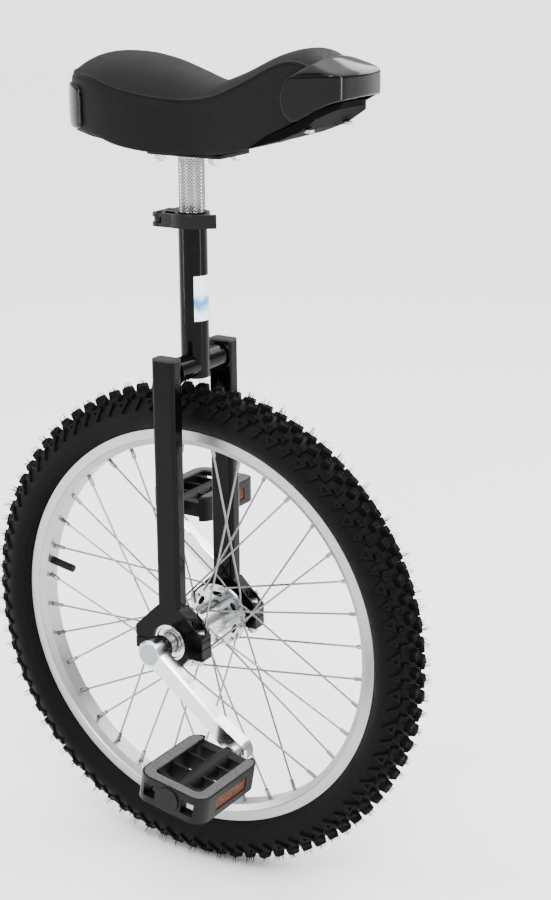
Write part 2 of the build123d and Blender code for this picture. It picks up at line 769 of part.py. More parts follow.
with BuildPart() as spindle_nut:
    with BuildSketch(across_plane(pedal_outer - 8.7)):
        RegularPolygon(5, 6, major_radius=False)
        Circle(3, mode=Mode.SUBTRACT)
    extrude(amount=4)

eye_x = crank_length * cos(radians(crank_angle))
eye_z = crank_length * sin(radians(crank_angle))
right_place = Location((eye_x, 0, axle_height + eye_z), (0, pedal_tilt, 0))
left_place = Location((-eye_x, 0, axle_height - eye_z))


def save_pedal_pieces(name, pieces):
    """Place the pieces of one pedal node on each crank."""
    group(f"{name}_right", [right_place * piece for piece in pieces])
    group(f"{name}_left", [left_place * mirror(piece, about=Plane.XZ) for piece in pieces])


save_pedal_pieces("pedal_body", pedal_body.part.solids())
save_pedal_pieces("pedal_grips", grip_parts)
save_pedal_pieces("pedal_reflectors", reflector_parts)
save_pedal_pieces("pedal_end_cap", [end_cap.part])
save_pedal_pieces("pedal_spindle", [spindle.part, spindle_nut.part])

# --- seat post, plate and saddle ---------------------------------------------------------------
plate_top = saddle_height - plate_gap
plate_bottom = plate_top - plate_thickness
post_bottom = plate_bottom - post_length
with BuildPart() as seat_post:
    with BuildSketch(level(post_bottom)):
        Circle(post_diameter / 2)
        Circle(post_diameter / 2 - post_wall, mode=Mode.SUBTRACT)
    extrude(amount=post_length)
save(seat_post.part, "seat_post")

stud_spots = [(x, y) for x in (-22, 38) for y in (-19, 19)]
screw_spots = [(150, -34), (150, 34)]
stud_diameter = 6.0
with BuildPart() as saddle_plate:
    with BuildSketch(level(plate_bottom)):
        with Locations((8, 0)):
            RectangleRounded(86, 56, 8)
        with Locations(*stud_spots):
            Circle(stud_diameter / 2, mode=Mode.SUBTRACT)
    extrude(amount=plate_thickness)
save(saddle_plate.part, "saddle_plate")

# heights above the saddle's lowest edge
base_under = [(-112, 20), (-80, 11.5), (-49, 7), (-2, 1), (31, 0), (64, 3), (97, 12), (122, 19),
              (145, 28), (172, 47)]
wing_foot = [(139, 34.5), (169, 51)]
ridge = [(-117, 62), (-91, 84), (-68, 87), (-30, 83), (1, 74), (37, 62), (75, 76), (105, 91),
         (137, 98.5), (158, 92), (170, 76)]
pad_front = 170.0
wing_outline = [(127, 57), (131, 70), (163, 90), (172, 93), (184, 90.5), (194, 83.5), (198, 70), (195, 62),
                (176, 53.5), *reversed(wing_foot), (130, 44)]
handle_half = saddle_waist + 0.5 + wing_thickness


def side_face(points):
    """A closed outline of (x, height above the saddle's lowest edge) points on the middle plane."""
    with BuildSketch(Plane.XZ) as face:
        with BuildLine():
            Polyline(*[(x, axle_height + saddle_height + z) for x, z in points], close=True)
        make_face()
    return face.sketch


def saddle_plan(grow, front, front_half):
    """The saddle's plan: a round rear half that narrows to the waist, and a blunt front."""
    rear = saddle_rear_radius + grow
    half = saddle_waist + grow
    with BuildSketch(level(saddle_height - 60)) as plan:
        with BuildLine():
            ThreePointArc((saddle_centre, -rear), (saddle_centre - rear, 0), (saddle_centre, rear))
            for way in (1, -1):
                Spline((saddle_centre, way * rear), (0, way * (half + rear) / 2), (55, way * half),
                       tangents=[(1, 0), (1, 0)])
                Line((55, way * half), (110, way * half))
                Line((110, way * half), (front - 12, way * front_half))
            ThreePointArc((front - 12, front_half), (front, 0), (front - 12, -front_half))
        make_face()
    return plan.sketch


base_top = [(x, z + base_thickness) for x, z in base_under if x < 90]
pad_under = base_top + [(97, 17)] + wing_foot + [(pad_front + 4, 53)]

with BuildPart() as saddle_base:
    add(side_face(base_under + list(reversed(pad_under))))
    extrude(amount=handle_half, dir=(0, 1, 0), both=True)
    add(saddle_plan(-base_inset, pad_front + 5, handle_half - 2))
    extrude(amount=260, dir=(0, 0, 1), mode=Mode.INTERSECT)
    for x, y in stud_spots:
        boss_top = saddle_height + (4.5 if x < 0 else 3)
        add(rod(x, y, plate_top, boss_top, 14))
    for x, y in stud_spots:
        add(rod(x, y, plate_top - 1, plate_top + 3, stud_diameter), mode=Mode.SUBTRACT)
    for x, y in screw_spots:
        add(rod(x, y, saddle_height + 20, saddle_height + 30, 9.5), mode=Mode.SUBTRACT)
save(saddle_base.part, "saddle_base")

group("saddle_studs", [rod(x, y, plate_bottom - 7, plate_top + 3, stud_diameter) for x, y in stud_spots])
group("saddle_nuts", [nut_piece(x, y, plate_bottom - nut_height, stud_diameter, 10) for x, y in stud_spots])

with BuildPart() as saddle_pad:
    add(side_face(ridge + [(pad_front, 55)] + [p for p in reversed(pad_under) if p[0] < pad_front]))
    extrude(amount=saddle_rear_radius + 5, dir=(0, 1, 0), both=True)
    add(saddle_plan(0, pad_front, saddle_waist - 4))
    extrude(amount=260, dir=(0, 0, 1), mode=Mode.INTERSECT)
save(saddle_pad.part, "saddle_pad")

nose_tip = 198.0
nose_corner = 44.0
finger_roof = 74.0           # above the saddle's lowest edge
finger_depth = 25.0
lip_wall = 6.0
with BuildPart() as lift_handle:
    add(side_face(wing_outline))
    extrude(amount=handle_half, dir=(0, 1, 0), both=True)
    with BuildSketch(level(saddle_height)) as nose_plan:
        with Locations((nose_tip - 60, 0)):
            Rectangle(120, 2 * handle_half)
        fillet(nose_plan.vertices().group_by(Axis.X)[-1], nose_corner)
    extrude(amount=140, mode=Mode.INTERSECT)
    with BuildSketch(level(saddle_height)):
        with Locations((pad_front + 1 - 60, 0)):
            Rectangle(120, 2 * (handle_half - wing_thickness))
    extrude(amount=140, mode=Mode.SUBTRACT)
    with BuildSketch(level(saddle_height)) as finger_plan:
        with Locations((nose_tip - lip_wall - finger_depth / 2, 0)):
            Rectangle(finger_depth, 2 * (handle_half - 9))
        fillet(finger_plan.vertices().group_by(Axis.X)[-1], finger_depth - 1)
    extrude(amount=finger_roof, mode=Mode.SUBTRACT)
save(lift_handle.part, "lift_handle")

bumper_low = 20.0
bumper_high = 60.0
bumper_reach = -76.0
with BuildPart() as rear_bumper:
    with BuildSketch(level(saddle_height + bumper_low)):
        with Locations((saddle_centre, 0)):
            Circle(saddle_rear_radius + soft_gap + bumper_thickness)
            Circle(saddle_rear_radius + soft_gap, mode=Mode.SUBTRACT)
        with Locations((bumper_reach + 200, 0)):
            Rectangle(400, 400, mode=Mode.SUBTRACT)
    extrude(amount=bumper_high - bumper_low)
save(rear_bumper.part, "rear_bumper")

def base_screw(x, y):
    """A round-headed screw up into the handle's foot."""
    with BuildPart() as screw:
        add(rod(x, y, saddle_height + 27, saddle_height + 30, 9))
        fillet(screw.edges().group_by(Axis.Z)[0], 1.2)
    return screw.part


group("handle_screws", [base_screw(x, y) for x, y in screw_spots])

# --- seat clamp --------------------------------------------------------------------------------
collar_height = 13.0
collar_top = seat_tube_top - 1
collar_bottom = collar_top - collar_height
collar_middle = collar_top - collar_height / 2
collar_radius = seat_tube_radius + 3.0
ear_thickness = 7.0
ear_reach = 33.0
skewer_diameter = 5.0
skewer_x = -27.0
ear_face = clamp_slot_width / 2 + ear_thickness
skewer_plane = Plane((skewer_x, 0, axle_height + collar_middle), x_dir=(1, 0, 0), z_dir=(0, -1, 0))
with BuildPart() as clamp_collar:
    with BuildSketch(level(collar_bottom)):
        Circle(collar_radius)
        with Locations((-(ear_reach + 10) / 2, 0)):
            Rectangle(ear_reach - 10, 2 * ear_face)
        Circle(seat_tube_radius, mode=Mode.SUBTRACT)
        with Locations((-ear_reach, 0)):
            Rectangle(2 * (ear_reach - seat_tube_radius + 3), clamp_slot_width, mode=Mode.SUBTRACT)
    extrude(amount=collar_height)
    with BuildSketch(skewer_plane):
        Circle(skewer_diameter / 2)
    extrude(amount=2 * ear_face, both=True, mode=Mode.SUBTRACT)
save(clamp_collar.part, "clamp_collar")

pin_y = -(ear_face + 8.0)
pin_diameter = 5.0
eye_radius = 5.0
eye_height = 5.0
with BuildPart() as clamp_skewer:
    with BuildSketch(skewer_plane.offset(-(ear_face + 11))):
        Circle(skewer_diameter / 2)
    extrude(amount=ear_face + 11 - pin_y)
    with BuildSketch(level(collar_middle - eye_height / 2)):
        with Locations((skewer_x, pin_y)):
            Circle(eye_radius)
    extrude(amount=eye_height)
    add(rod(skewer_x, pin_y, collar_bottom - 1, collar_top + 1, pin_diameter))
save(clamp_skewer.part, "clamp_skewer")

cam_radius = 7.0
lever_thickness = 3.5
lever_radius = collar_radius + 1.5 + lever_thickness / 2
cheek = (collar_height - eye_height) / 2 - soft_gap
with BuildPart() as clamp_lever:
    with BuildSketch(level(collar_bottom)):
        with Locations((skewer_x, pin_y)):
            Circle(cam_radius - 0.5)
    extrude(amount=collar_height)
    with BuildSketch(level(collar_bottom)):
        with BuildLine():
            Line((skewer_x + 3, pin_y - 4.5), (-9, -lever_radius - 0.5))
            ThreePointArc((-9, -lever_radius - 0.5), (4, -lever_radius), (17, -13))
            Line((17, -13), (30, -4))
        trace(line_width=lever_thickness)
    extrude(amount=collar_height)
    with BuildSketch(level(collar_middle - eye_height / 2 - soft_gap)):
        with Locations((skewer_x, pin_y)):
            Circle(cam_radius + 2)
        with Locations((skewer_x - 2, pin_y + 4)):
            Rectangle(2 * cam_radius, 2 * cam_radius)
    extrude(amount=eye_height + 2 * soft_gap, mode=Mode.SUBTRACT)
    add(rod(skewer_x, pin_y, collar_bottom - 2, collar_top + 2, pin_diameter + 2 * running_gap),
        mode=Mode.SUBTRACT)
save(clamp_lever.part, "clamp_lever")

with BuildPart() as clamp_nut:
    with BuildSketch(skewer_plane.offset(-(ear_face + soft_gap))):
        Circle(6.5)
        Circle(skewer_diameter / 2 + running_gap, mode=Mode.SUBTRACT)
    extrude(amount=-8)
    chamfer(clamp_nut.faces().sort_by(Axis.Y)[-1].outer_wire().edges(), 1.0)
save(clamp_nut.part, "clamp_nut")
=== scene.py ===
# %% [markdown]
# # A unicycle, dressed around its imported frame
# The frame file brings every rigid part at its true size and place. This lesson keeps those parts where
# they are, gives each one a procedural finish, and models afresh what a plain solid can't show: the
# knobbly tyre, the crowned saddle, the glossy handle and bumper, and the knurled post.

# %% Load the frame
import json
import math
import random

import bmesh
import bpy
from mathutils import Matrix, Vector

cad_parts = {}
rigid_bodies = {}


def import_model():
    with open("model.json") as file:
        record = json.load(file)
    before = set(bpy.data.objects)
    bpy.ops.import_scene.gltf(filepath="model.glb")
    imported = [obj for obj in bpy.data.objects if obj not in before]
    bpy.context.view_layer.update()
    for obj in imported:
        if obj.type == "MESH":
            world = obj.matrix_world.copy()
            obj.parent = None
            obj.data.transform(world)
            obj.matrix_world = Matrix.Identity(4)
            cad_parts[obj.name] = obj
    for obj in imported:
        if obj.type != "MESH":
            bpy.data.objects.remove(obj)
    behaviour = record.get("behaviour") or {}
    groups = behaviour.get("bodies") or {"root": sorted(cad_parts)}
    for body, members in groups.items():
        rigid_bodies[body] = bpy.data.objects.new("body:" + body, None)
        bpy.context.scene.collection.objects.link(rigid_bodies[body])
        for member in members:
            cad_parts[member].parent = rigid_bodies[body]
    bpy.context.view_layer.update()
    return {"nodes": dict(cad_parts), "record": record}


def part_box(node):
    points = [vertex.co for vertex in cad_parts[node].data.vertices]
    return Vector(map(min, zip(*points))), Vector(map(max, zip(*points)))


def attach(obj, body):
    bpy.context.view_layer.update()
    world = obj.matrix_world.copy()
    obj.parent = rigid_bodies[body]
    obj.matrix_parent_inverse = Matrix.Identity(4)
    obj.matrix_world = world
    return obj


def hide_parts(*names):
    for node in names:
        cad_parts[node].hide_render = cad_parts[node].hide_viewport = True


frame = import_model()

MM = 0.001
AXLE = (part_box("rim")[0][2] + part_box("rim")[1][2]) / 2
TYRE_LOW, TYRE_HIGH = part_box("tyre")
TYRE_RADIUS = (TYRE_HIGH[0] - TYRE_LOW[0]) / 2
print("axle height", round(AXLE, 4), "tyre radius", round(TYRE_RADIUS, 4))

# %% [markdown]
# ## The camera comes first
# A long lens a little below two metres away, looking down from the right front. The body of the camera is
# placed by its view direction, so the same few numbers set the lens, the turn and the shift of the target.

# %% Camera
VIEW_TURN = math.radians(32.0233)
VIEW_DROP = math.radians(17.1093)
VIEW_ROLL = math.radians(-0.4405)
VIEW_BACK, VIEW_SIDE, VIEW_RISE = 1.844797, 0.07595, 0.177559
LENS_OVER_HEIGHT = 2.01015

back = Vector((math.sin(VIEW_TURN) * math.cos(VIEW_DROP), -math.cos(VIEW_TURN) * math.cos(VIEW_DROP),
               math.sin(VIEW_DROP)))
level_right = Vector((math.cos(VIEW_TURN), math.sin(VIEW_TURN), 0))
level_up = back.cross(level_right)
right = level_right * math.cos(VIEW_ROLL) + level_up * math.sin(VIEW_ROLL)
up = -level_right * math.sin(VIEW_ROLL) + level_up * math.cos(VIEW_ROLL)
spot = back * VIEW_BACK + right * VIEW_SIDE + up * VIEW_RISE + Vector((0, 0, AXLE))
camera_data = bpy.data.cameras.new("camera")
camera = bpy.data.objects.new("camera", camera_data)
bpy.context.collection.objects.link(camera)
camera.matrix_world = Matrix.Translation(spot) @ Matrix((right, up, back)).transposed().to_4x4()
camera_data.sensor_fit = "VERTICAL"
camera_data.sensor_height = 36
camera_data.lens = 36 * LENS_OVER_HEIGHT
bpy.context.scene.camera = camera
print("camera at", [round(v, 3) for v in spot])

# %% [markdown]
# ## Light and floor
# Product light: a white world that fills the shadows, a soft panel high on the right, tall strips on
# both sides for the glossy edges, and a white floor. The walls are dim, so that polished metal has contrast.

# %% World, lamps and floor
world = bpy.data.worlds.new("studio")
world.use_nodes = True
sky = world.node_tree.nodes["Background"]
sky.inputs["Strength"].default_value = 1.0
direction = world.node_tree.nodes.new("ShaderNodeTexCoord")
heights = world.node_tree.nodes.new("ShaderNodeSeparateXYZ")
shades = world.node_tree.nodes.new("ShaderNodeValToRGB")
world.node_tree.links.new(direction.outputs["Generated"], heights.inputs[0])
world.node_tree.links.new(heights.outputs["Z"], shades.inputs["Fac"])
world.node_tree.links.new(shades.outputs["Color"], sky.inputs["Color"])
shades.color_ramp.elements[0].position, shades.color_ramp.elements[0].color = 0.0, (2.6, 2.6, 2.6, 1)
shades.color_ramp.elements[1].position, shades.color_ramp.elements[1].color = 0.85, (4.2, 4.2, 4.2, 1)
low_wall = shades.color_ramp.elements.new(0.06)
low_wall.color = (0.5, 0.5, 0.5, 1)
high_wall = shades.color_ramp.elements.new(0.45)
high_wall.color = (0.9, 0.9, 0.9, 1)
bpy.context.scene.world = world


def panel(name, place, target, width, height, watts):
    """A soft rectangular lamp that faces a target point."""
    data = bpy.data.lights.new(name, "AREA")
    data.shape = "RECTANGLE"
    data.size, data.size_y, data.energy = width, height, watts
    lamp = bpy.data.objects.new(name, data)
    bpy.context.collection.objects.link(lamp)
    lamp.location = place
    lamp.rotation_euler = (Vector(target) - Vector(place)).to_track_quat("-Z", "Y").to_euler()
    return lamp


MIDDLE = (0, 0, 0.42)
panel("key", (1.1, -1.3, 2.1), MIDDLE, 0.9, 0.6, 45)
panel("strip", (-1.5, -1.2, 0.9), MIDDLE, 0.22, 1.6, 26)
panel("right_strip", (1.9, 0.1, 0.9), MIDDLE, 0.22, 1.6, 26)
panel("back", (0.2, 1.9, 1.6), MIDDLE, 1.4, 0.7, 18)

bpy.ops.mesh.primitive_plane_add(size=14, location=(0, 0, 0))
floor = bpy.context.object
floor.name = "floor"
floor_paint = bpy.data.materials.new("floor_paper")
floor_paint.use_nodes = True
floor_paint.node_tree.nodes["Principled BSDF"].inputs["Base Color"].default_value = (0.93, 0.93, 0.93, 1)
floor_paint.node_tree.nodes["Principled BSDF"].inputs["Roughness"].default_value = 0.9
floor.data.materials.append(floor_paint)

# %% [markdown]
# ## Shared surface effects
# Several finishes need the same things: a fine moulded grain, soft handling marks, and the fine lines a
# lathe or a polishing wheel leaves. Each is one node group, built once and dialled in by every material.

# %% Node group helpers
def start_group(name, inputs, outputs):
    """A shader group with named float inputs and outputs, and its two end nodes."""
    group = bpy.data.node_groups.new(name, "ShaderNodeTree")
    for label, value in inputs:
        group.interface.new_socket(label, in_out="INPUT", socket_type="NodeSocketFloat").default_value = value
    for label in outputs:
        group.interface.new_socket(label, in_out="OUTPUT", socket_type="NodeSocketFloat")
    return group, group.nodes.new("NodeGroupInput"), group.nodes.new("NodeGroupOutput")


def math_node(tree, operation, first, second=None):
    """A Math node fed by sockets or plain numbers."""
    node = tree.nodes.new("ShaderNodeMath")
    node.operation = operation
    for socket, value in zip(node.inputs, (first, second)):
        if isinstance(value, (int, float)):
            socket.default_value = value
        elif value is not None:
            tree.links.new(value, socket)
    return node.outputs[0]


def object_point(tree):
    return tree.nodes.new("ShaderNodeTexCoord").outputs["Object"]


def noise(tree, scale, detail=2.0, vector=None, rough=0.5):
    node = tree.nodes.new("ShaderNodeTexNoise")
    node.inputs["Detail"].default_value = detail
    node.inputs["Roughness"].default_value = rough
    tree.links.new(vector or object_point(tree), node.inputs["Vector"])
    if isinstance(scale, (int, float)):
        node.inputs["Scale"].default_value = scale
    else:
        tree.links.new(scale, node.inputs["Scale"])
    return node.outputs["Fac"]


# %% Grain, marks and turned lines
def make_grain():
    """Small rounded cells with noise over them, as on vinyl and moulded plastic."""
    group, ins, outs = start_group("moulded grain", [("Cells per metre", 900)], ["Height", "Pits"])
    cells = group.nodes.new("ShaderNodeTexVoronoi")
    cells.feature = "DISTANCE_TO_EDGE"
    group.links.new(object_point(group), cells.inputs["Vector"])
    group.links.new(ins.outputs["Cells per metre"], cells.inputs["Scale"])
    dome = math_node(group, "MINIMUM", math_node(group, "MULTIPLY", cells.outputs["Distance"], 3.0), 1.0)
    fine = noise(group, math_node(group, "MULTIPLY", ins.outputs["Cells per metre"], 0.6), 3)
    rough_dome = math_node(group, "ADD", dome, math_node(group, "MULTIPLY", fine, 0.5))
    group.links.new(rough_dome, outs.inputs["Height"])
    group.links.new(math_node(group, "SUBTRACT", 1.0, dome), outs.inputs["Pits"])
    return group


def make_marks():
    """Broad clouds and sparse fine scuffs, 0 to 1."""
    group, ins, outs = start_group("handling marks", [("Size", 14)], ["Cloud", "Scuffs"])
    group.links.new(noise(group, ins.outputs["Size"], 4), outs.inputs["Cloud"])
    fine = noise(group, math_node(group, "MULTIPLY", ins.outputs["Size"], 16), 5, rough=0.7)
    sharp = math_node(group, "MULTIPLY", math_node(group, "SUBTRACT", fine, 0.60), 9)
    group.links.new(math_node(group, "MAXIMUM", math_node(group, "MINIMUM", sharp, 1.0), 0.0),
                    outs.inputs["Scuffs"])
    return group


def make_turned():
    """Fine lines that run round the axle, from the distance to it and the distance across."""
    group, ins, outs = start_group("turned lines", [("Lines per metre", 2500)], ["Lines"])
    split = group.nodes.new("ShaderNodeSeparateXYZ")
    group.links.new(object_point(group), split.inputs[0])
    height = math_node(group, "SUBTRACT", split.outputs["Z"], AXLE)
    radius = math_node(group, "SQRT", math_node(group, "ADD",
                       math_node(group, "POWER", math_node(group, "ABSOLUTE", height), 2),
                       math_node(group, "POWER", math_node(group, "ABSOLUTE", split.outputs["X"]), 2)))
    join = group.nodes.new("ShaderNodeCombineXYZ")
    group.links.new(radius, join.inputs["X"])
    group.links.new(split.outputs["Y"], join.inputs["Y"])
    group.links.new(math_node(group, "MULTIPLY", math_node(group, "ARCTAN2", height, split.outputs["X"]),
                              0.002), join.inputs["Z"])
    group.links.new(noise(group, ins.outputs["Lines per metre"], 2, join.outputs[0]), outs.inputs["Lines"])
    return group


GRAIN, MARKS, TURNED = make_grain(), make_marks(), make_turned()
print("groups", GRAIN.name, MARKS.name, TURNED.name)

# %% [markdown]
# ## Finishes
# Each finish is a Principled shader with constants on its own sockets. Colour and roughness then vary a
# little with the marks group, and a Bump node takes its height from the grain or the turned lines.

# %% A maker for finishes
def finish_material(name, color, rough, metal=0.0, coat=0.0, vary=0.15, marks=14, bump=None, shine=0.5):
    """A finish. bump is (group, input value, output name, height in metres)."""
    material = bpy.data.materials.new(name)
    material.use_nodes = True
    tree = material.node_tree
    shader = tree.nodes["Principled BSDF"]
    shader.inputs["Metallic"].default_value = metal
    shader.inputs["Specular IOR Level"].default_value = shine
    shader.inputs["Coat Weight"].default_value = coat
    shader.inputs["Coat Roughness"].default_value = 0.05
    group = tree.nodes.new("ShaderNodeGroup")
    group.node_tree = MARKS
    group.inputs["Size"].default_value = marks
    mix = tree.nodes.new("ShaderNodeMix")
    mix.data_type = "RGBA"
    mix.inputs["A"].default_value = (*[c * (1 - vary) for c in color], 1)
    mix.inputs["B"].default_value = (*[min(1, c * (1 + vary)) for c in color], 1)
    tree.links.new(group.outputs["Cloud"], mix.inputs["Factor"])
    tree.links.new(mix.outputs["Result"], shader.inputs["Base Color"])
    scuffed = math_node(tree, "MULTIPLY", group.outputs["Scuffs"], 0.12)
    cloudy = math_node(tree, "MULTIPLY", group.outputs["Cloud"], rough * 0.5)
    tree.links.new(math_node(tree, "ADD", math_node(tree, "ADD", cloudy, scuffed), rough * 0.75),
                   shader.inputs["Roughness"])
    if bump:
        source = tree.nodes.new("ShaderNodeGroup")
        source.node_tree, value, output, depth = bump
        source.inputs[0].default_value = value
        node = tree.nodes.new("ShaderNodeBump")
        node.inputs["Distance"].default_value = depth
        tree.links.new(source.outputs[output], node.inputs["Height"])
        tree.links.new(node.outputs["Normal"], shader.inputs["Normal"])
    return material


# %% All the finishes
FINISHES = {
    "paint": finish_material("gloss_black_paint", (0.0015, 0.0015, 0.0017), 0.14, marks=9, shine=0.08,
                             bump=(MARKS, 60, "Cloud", 0.0004)),
    "cap_metal": finish_material("leg_cap_paint", (0.012, 0.012, 0.012), 0.38, shine=0.2),
    "clamp_black": finish_material("anodised_black", (0.003, 0.003, 0.003), 0.28, shine=0.15,
                                   bump=(GRAIN, 2500, "Height", 0.00003)),
    "zinc": finish_material("zinc_plate", (0.42, 0.43, 0.45), 0.28, metal=1.0, marks=40),
    "bearing_steel": finish_material("ground_steel", (0.55, 0.55, 0.56), 0.2, metal=1.0,
                                     bump=(TURNED, 3000, "Lines", 0.00002)),
    "hub_chrome": finish_material("hub_plate", (0.48, 0.49, 0.50), 0.2, metal=1.0, marks=60,
                                  bump=(TURNED, 1800, "Lines", 0.00004)),
    "spoke_steel": finish_material("spoke_steel", (0.22, 0.225, 0.23), 0.25, metal=1.0),
    "rim_alloy": finish_material("brushed_rim", (0.36, 0.36, 0.365), 0.34, metal=0.9, marks=25, vary=0.06,
                                 bump=(TURNED, 2600, "Lines", 0.00006)),
    "tyre_rubber": finish_material("tread_rubber", (0.0022, 0.0022, 0.0022), 0.55, marks=30, vary=0.3,
                                   shine=0.06, bump=(GRAIN, 1600, "Height", 0.00008)),
    "tube_rubber": finish_material("soft_rubber", (0.003, 0.003, 0.003), 0.55, marks=60, shine=0.1),
    "crank_alloy": finish_material("polished_crank", (0.60, 0.61, 0.62), 0.16, metal=1.0, marks=18, vary=0.05,
                                   bump=(MARKS, 80, "Cloud", 0.00012)),
    "spindle_steel": finish_material("spindle_plate", (0.5, 0.5, 0.52), 0.25, metal=1.0),
    "cap_grey": finish_material("grey_cap", (0.25, 0.28, 0.30), 0.42, bump=(GRAIN, 3000, "Height", 0.00002)),
    "pedal_plastic": finish_material("pedal_plastic", (0.003, 0.003, 0.003), 0.4, marks=25, shine=0.12,
                                     bump=(GRAIN, 2200, "Height", 0.00005)),
    "amber": finish_material("amber_lens", (0.075, 0.017, 0.002), 0.25, shine=0.2, marks=90, vary=0.4,
                             bump=(GRAIN, 450, "Height", 0.0005)),
    "post_steel": finish_material("post_plate", (0.27, 0.27, 0.28), 0.24, metal=1.0, marks=20),
    "plate_steel": finish_material("plate_paint", (0.003, 0.003, 0.003), 0.4, shine=0.1),
    "base_plastic": finish_material("base_plastic", (0.0015, 0.0015, 0.0015), 0.7, shine=0.02,
                                    bump=(GRAIN, 1800, "Height", 0.00004)),
    "vinyl": finish_material("saddle_vinyl", (0.0026, 0.0027, 0.0027), 0.46, marks=8, vary=0.12, shine=0.08,
                             bump=(GRAIN, 1500, "Height", 0.00012)),
    "gloss_plastic": finish_material("gloss_plastic", (0.0012, 0.0012, 0.0012), 0.1, marks=10, shine=0.16),
}


def make_speckle():
    """Grey grit tape: light and dark grains on grey."""
    material = finish_material("grip_grit", (0.17, 0.17, 0.16), 0.8, bump=(GRAIN, 1300, "Height", 0.0004))
    tree = material.node_tree
    ramp = tree.nodes.new("ShaderNodeValToRGB")
    ramp.color_ramp.elements[0].position, ramp.color_ramp.elements[0].color = 0.40, (0.022, 0.022, 0.021, 1)
    ramp.color_ramp.elements[1].position, ramp.color_ramp.elements[1].color = 0.62, (0.12, 0.12, 0.115, 1)
    tree.links.new(noise(tree, 900, 3, rough=0.8), ramp.inputs["Fac"])
    tree.links.new(ramp.outputs["Color"], tree.nodes["Principled BSDF"].inputs["Base Color"])
    return material


FINISHES["grip_grey"] = make_speckle()

# %% Put a finish on every carried node
SLOT_OF = {part["node"]: part["material_slot"] for part in frame["record"]["subparts"]}
for node, piece in frame["nodes"].items():
    piece.data.materials.clear()
    piece.data.materials.append(FINISHES[SLOT_OF[node]])
print(len(SLOT_OF), "nodes finished")

# %% [markdown]
# ## Shaping by rings
# Most new pieces here are skins over rings of points: the tyre's section, the saddle, the handle, the post.
# Each starts as a circle primitive whose points are moved into place, and grows by extruding its edge in
# edit mode, the same strokes as by hand. Modifiers then round it and are applied.

# %% Helpers for shaping
def clear_selection():
    bpy.ops.object.select_all(action="DESELECT")


def edit(piece):
    """Make one piece active and open it in edit mode."""
    clear_selection()
    piece.select_set(True)
    bpy.context.view_layer.objects.active = piece
    bpy.ops.object.mode_set(mode="EDIT")


def start_ring(name, points):
    """A circle primitive with its points moved into place, left open in edit mode."""
    clear_selection()
    bpy.ops.mesh.primitive_circle_add(vertices=len(points), radius=0.05)
    piece = bpy.context.object
    piece.name = name
    for vertex, point in zip(piece.data.vertices, points):
        vertex.co = point
    bpy.ops.object.mode_set(mode="EDIT")
    bpy.ops.mesh.select_all(action="SELECT")
    return piece


def extrude_ring(piece, old, new):
    """Extrude the selected ring, then carry each new point from its old place to its new one."""
    bpy.ops.mesh.extrude_edges_move()
    mesh = bmesh.from_edit_mesh(piece.data)
    old = [Vector(point) for point in old]
    for vertex in [v for v in mesh.verts if v.select]:
        nearest = min(range(len(old)), key=lambda i: (old[i] - vertex.co).length_squared)
        vertex.co = new[nearest]
    bmesh.update_edit_mesh(piece.data)


def close_edit(merge=0.00002):
    bpy.ops.mesh.select_all(action="SELECT")
    bpy.ops.mesh.remove_doubles(threshold=merge)
    bpy.ops.mesh.normals_make_consistent(inside=False)
    bpy.ops.object.mode_set(mode="OBJECT")


def loft(name, rings, first_cap=True, last_cap=True):
    """Skin a list of rings that have the same number of points."""
    piece = start_ring(name, rings[0])
    if first_cap:
        bpy.ops.mesh.edge_face_add()
    for old, new in zip(rings, rings[1:]):
        extrude_ring(piece, old, new)
    if last_cap:
        bpy.ops.mesh.edge_face_add()
    close_edit()
    return piece


def apply_modifier(piece, kind, **settings):
    clear_selection()
    piece.select_set(True)
    bpy.context.view_layer.objects.active = piece
    modifier = piece.modifiers.new(kind.lower(), kind)
    for key, value in settings.items():
        setattr(modifier, key, value)
    bpy.ops.object.modifier_apply(modifier=modifier.name)


def smooth(piece, angle=None):
    clear_selection()
    piece.select_set(True)
    bpy.context.view_layer.objects.active = piece
    if angle is None:
        bpy.ops.object.shade_smooth()
    else:
        bpy.ops.object.shade_smooth_by_angle(angle=math.radians(angle))


def settle(piece, body, slot, *nodes, finish=None):
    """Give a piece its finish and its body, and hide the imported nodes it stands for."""
    piece.data.materials.clear()
    piece.data.materials.append(finish or FINISHES[slot])
    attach(piece, body)
    if nodes:
        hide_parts(*nodes)


def copy_to(piece, matrix):
    """A copy with its own mesh, carried by a matrix."""
    twin = piece.copy()
    twin.data = piece.data.copy()
    bpy.context.collection.objects.link(twin)
    twin.data.transform(matrix)
    return twin


def join(pieces, name):
    clear_selection()
    for piece in pieces:
        piece.select_set(True)
    bpy.context.view_layer.objects.active = pieces[0]
    bpy.ops.object.join()
    pieces[0].name = name
    return pieces[0]


def pick_faces(piece, test):
    """In edit mode, select the faces whose centre and normal pass a test."""
    bpy.ops.mesh.select_mode(type="FACE")
    bpy.ops.mesh.select_all(action="DESELECT")
    mesh = bmesh.from_edit_mesh(piece.data)
    for face in mesh.faces:
        face.select_set(test(face.calc_center_median(), face.normal))
    bmesh.update_edit_mesh(piece.data)


def between(table, x):
    """A smooth-enough reading of a table of (x, value) pairs."""
    if x <= table[0][0]:
        return table[0][1]
    for (x0, v0), (x1, v1) in zip(table, table[1:]):
        if x <= x1:
            return v0 + (v1 - v0) * (x - x0) / (x1 - x0)
    return table[-1][1]


def eased(table, step=4.0):
    """The same table resampled and softened, so that no corner shows in a skin made from it."""
    low, high = table[0][0], table[-1][0]
    count = int((high - low) / step)
    fine = [(low + (high - low) * i / count) for i in range(count + 1)]
    values = [between(table, x) for x in fine]
    for _ in range(6):
        values = [values[0]] + [(a + 2 * b + c) / 4 for a, b, c in zip(values, values[1:], values[2:])] + [
            values[-1]]
    return list(zip(fine, values))


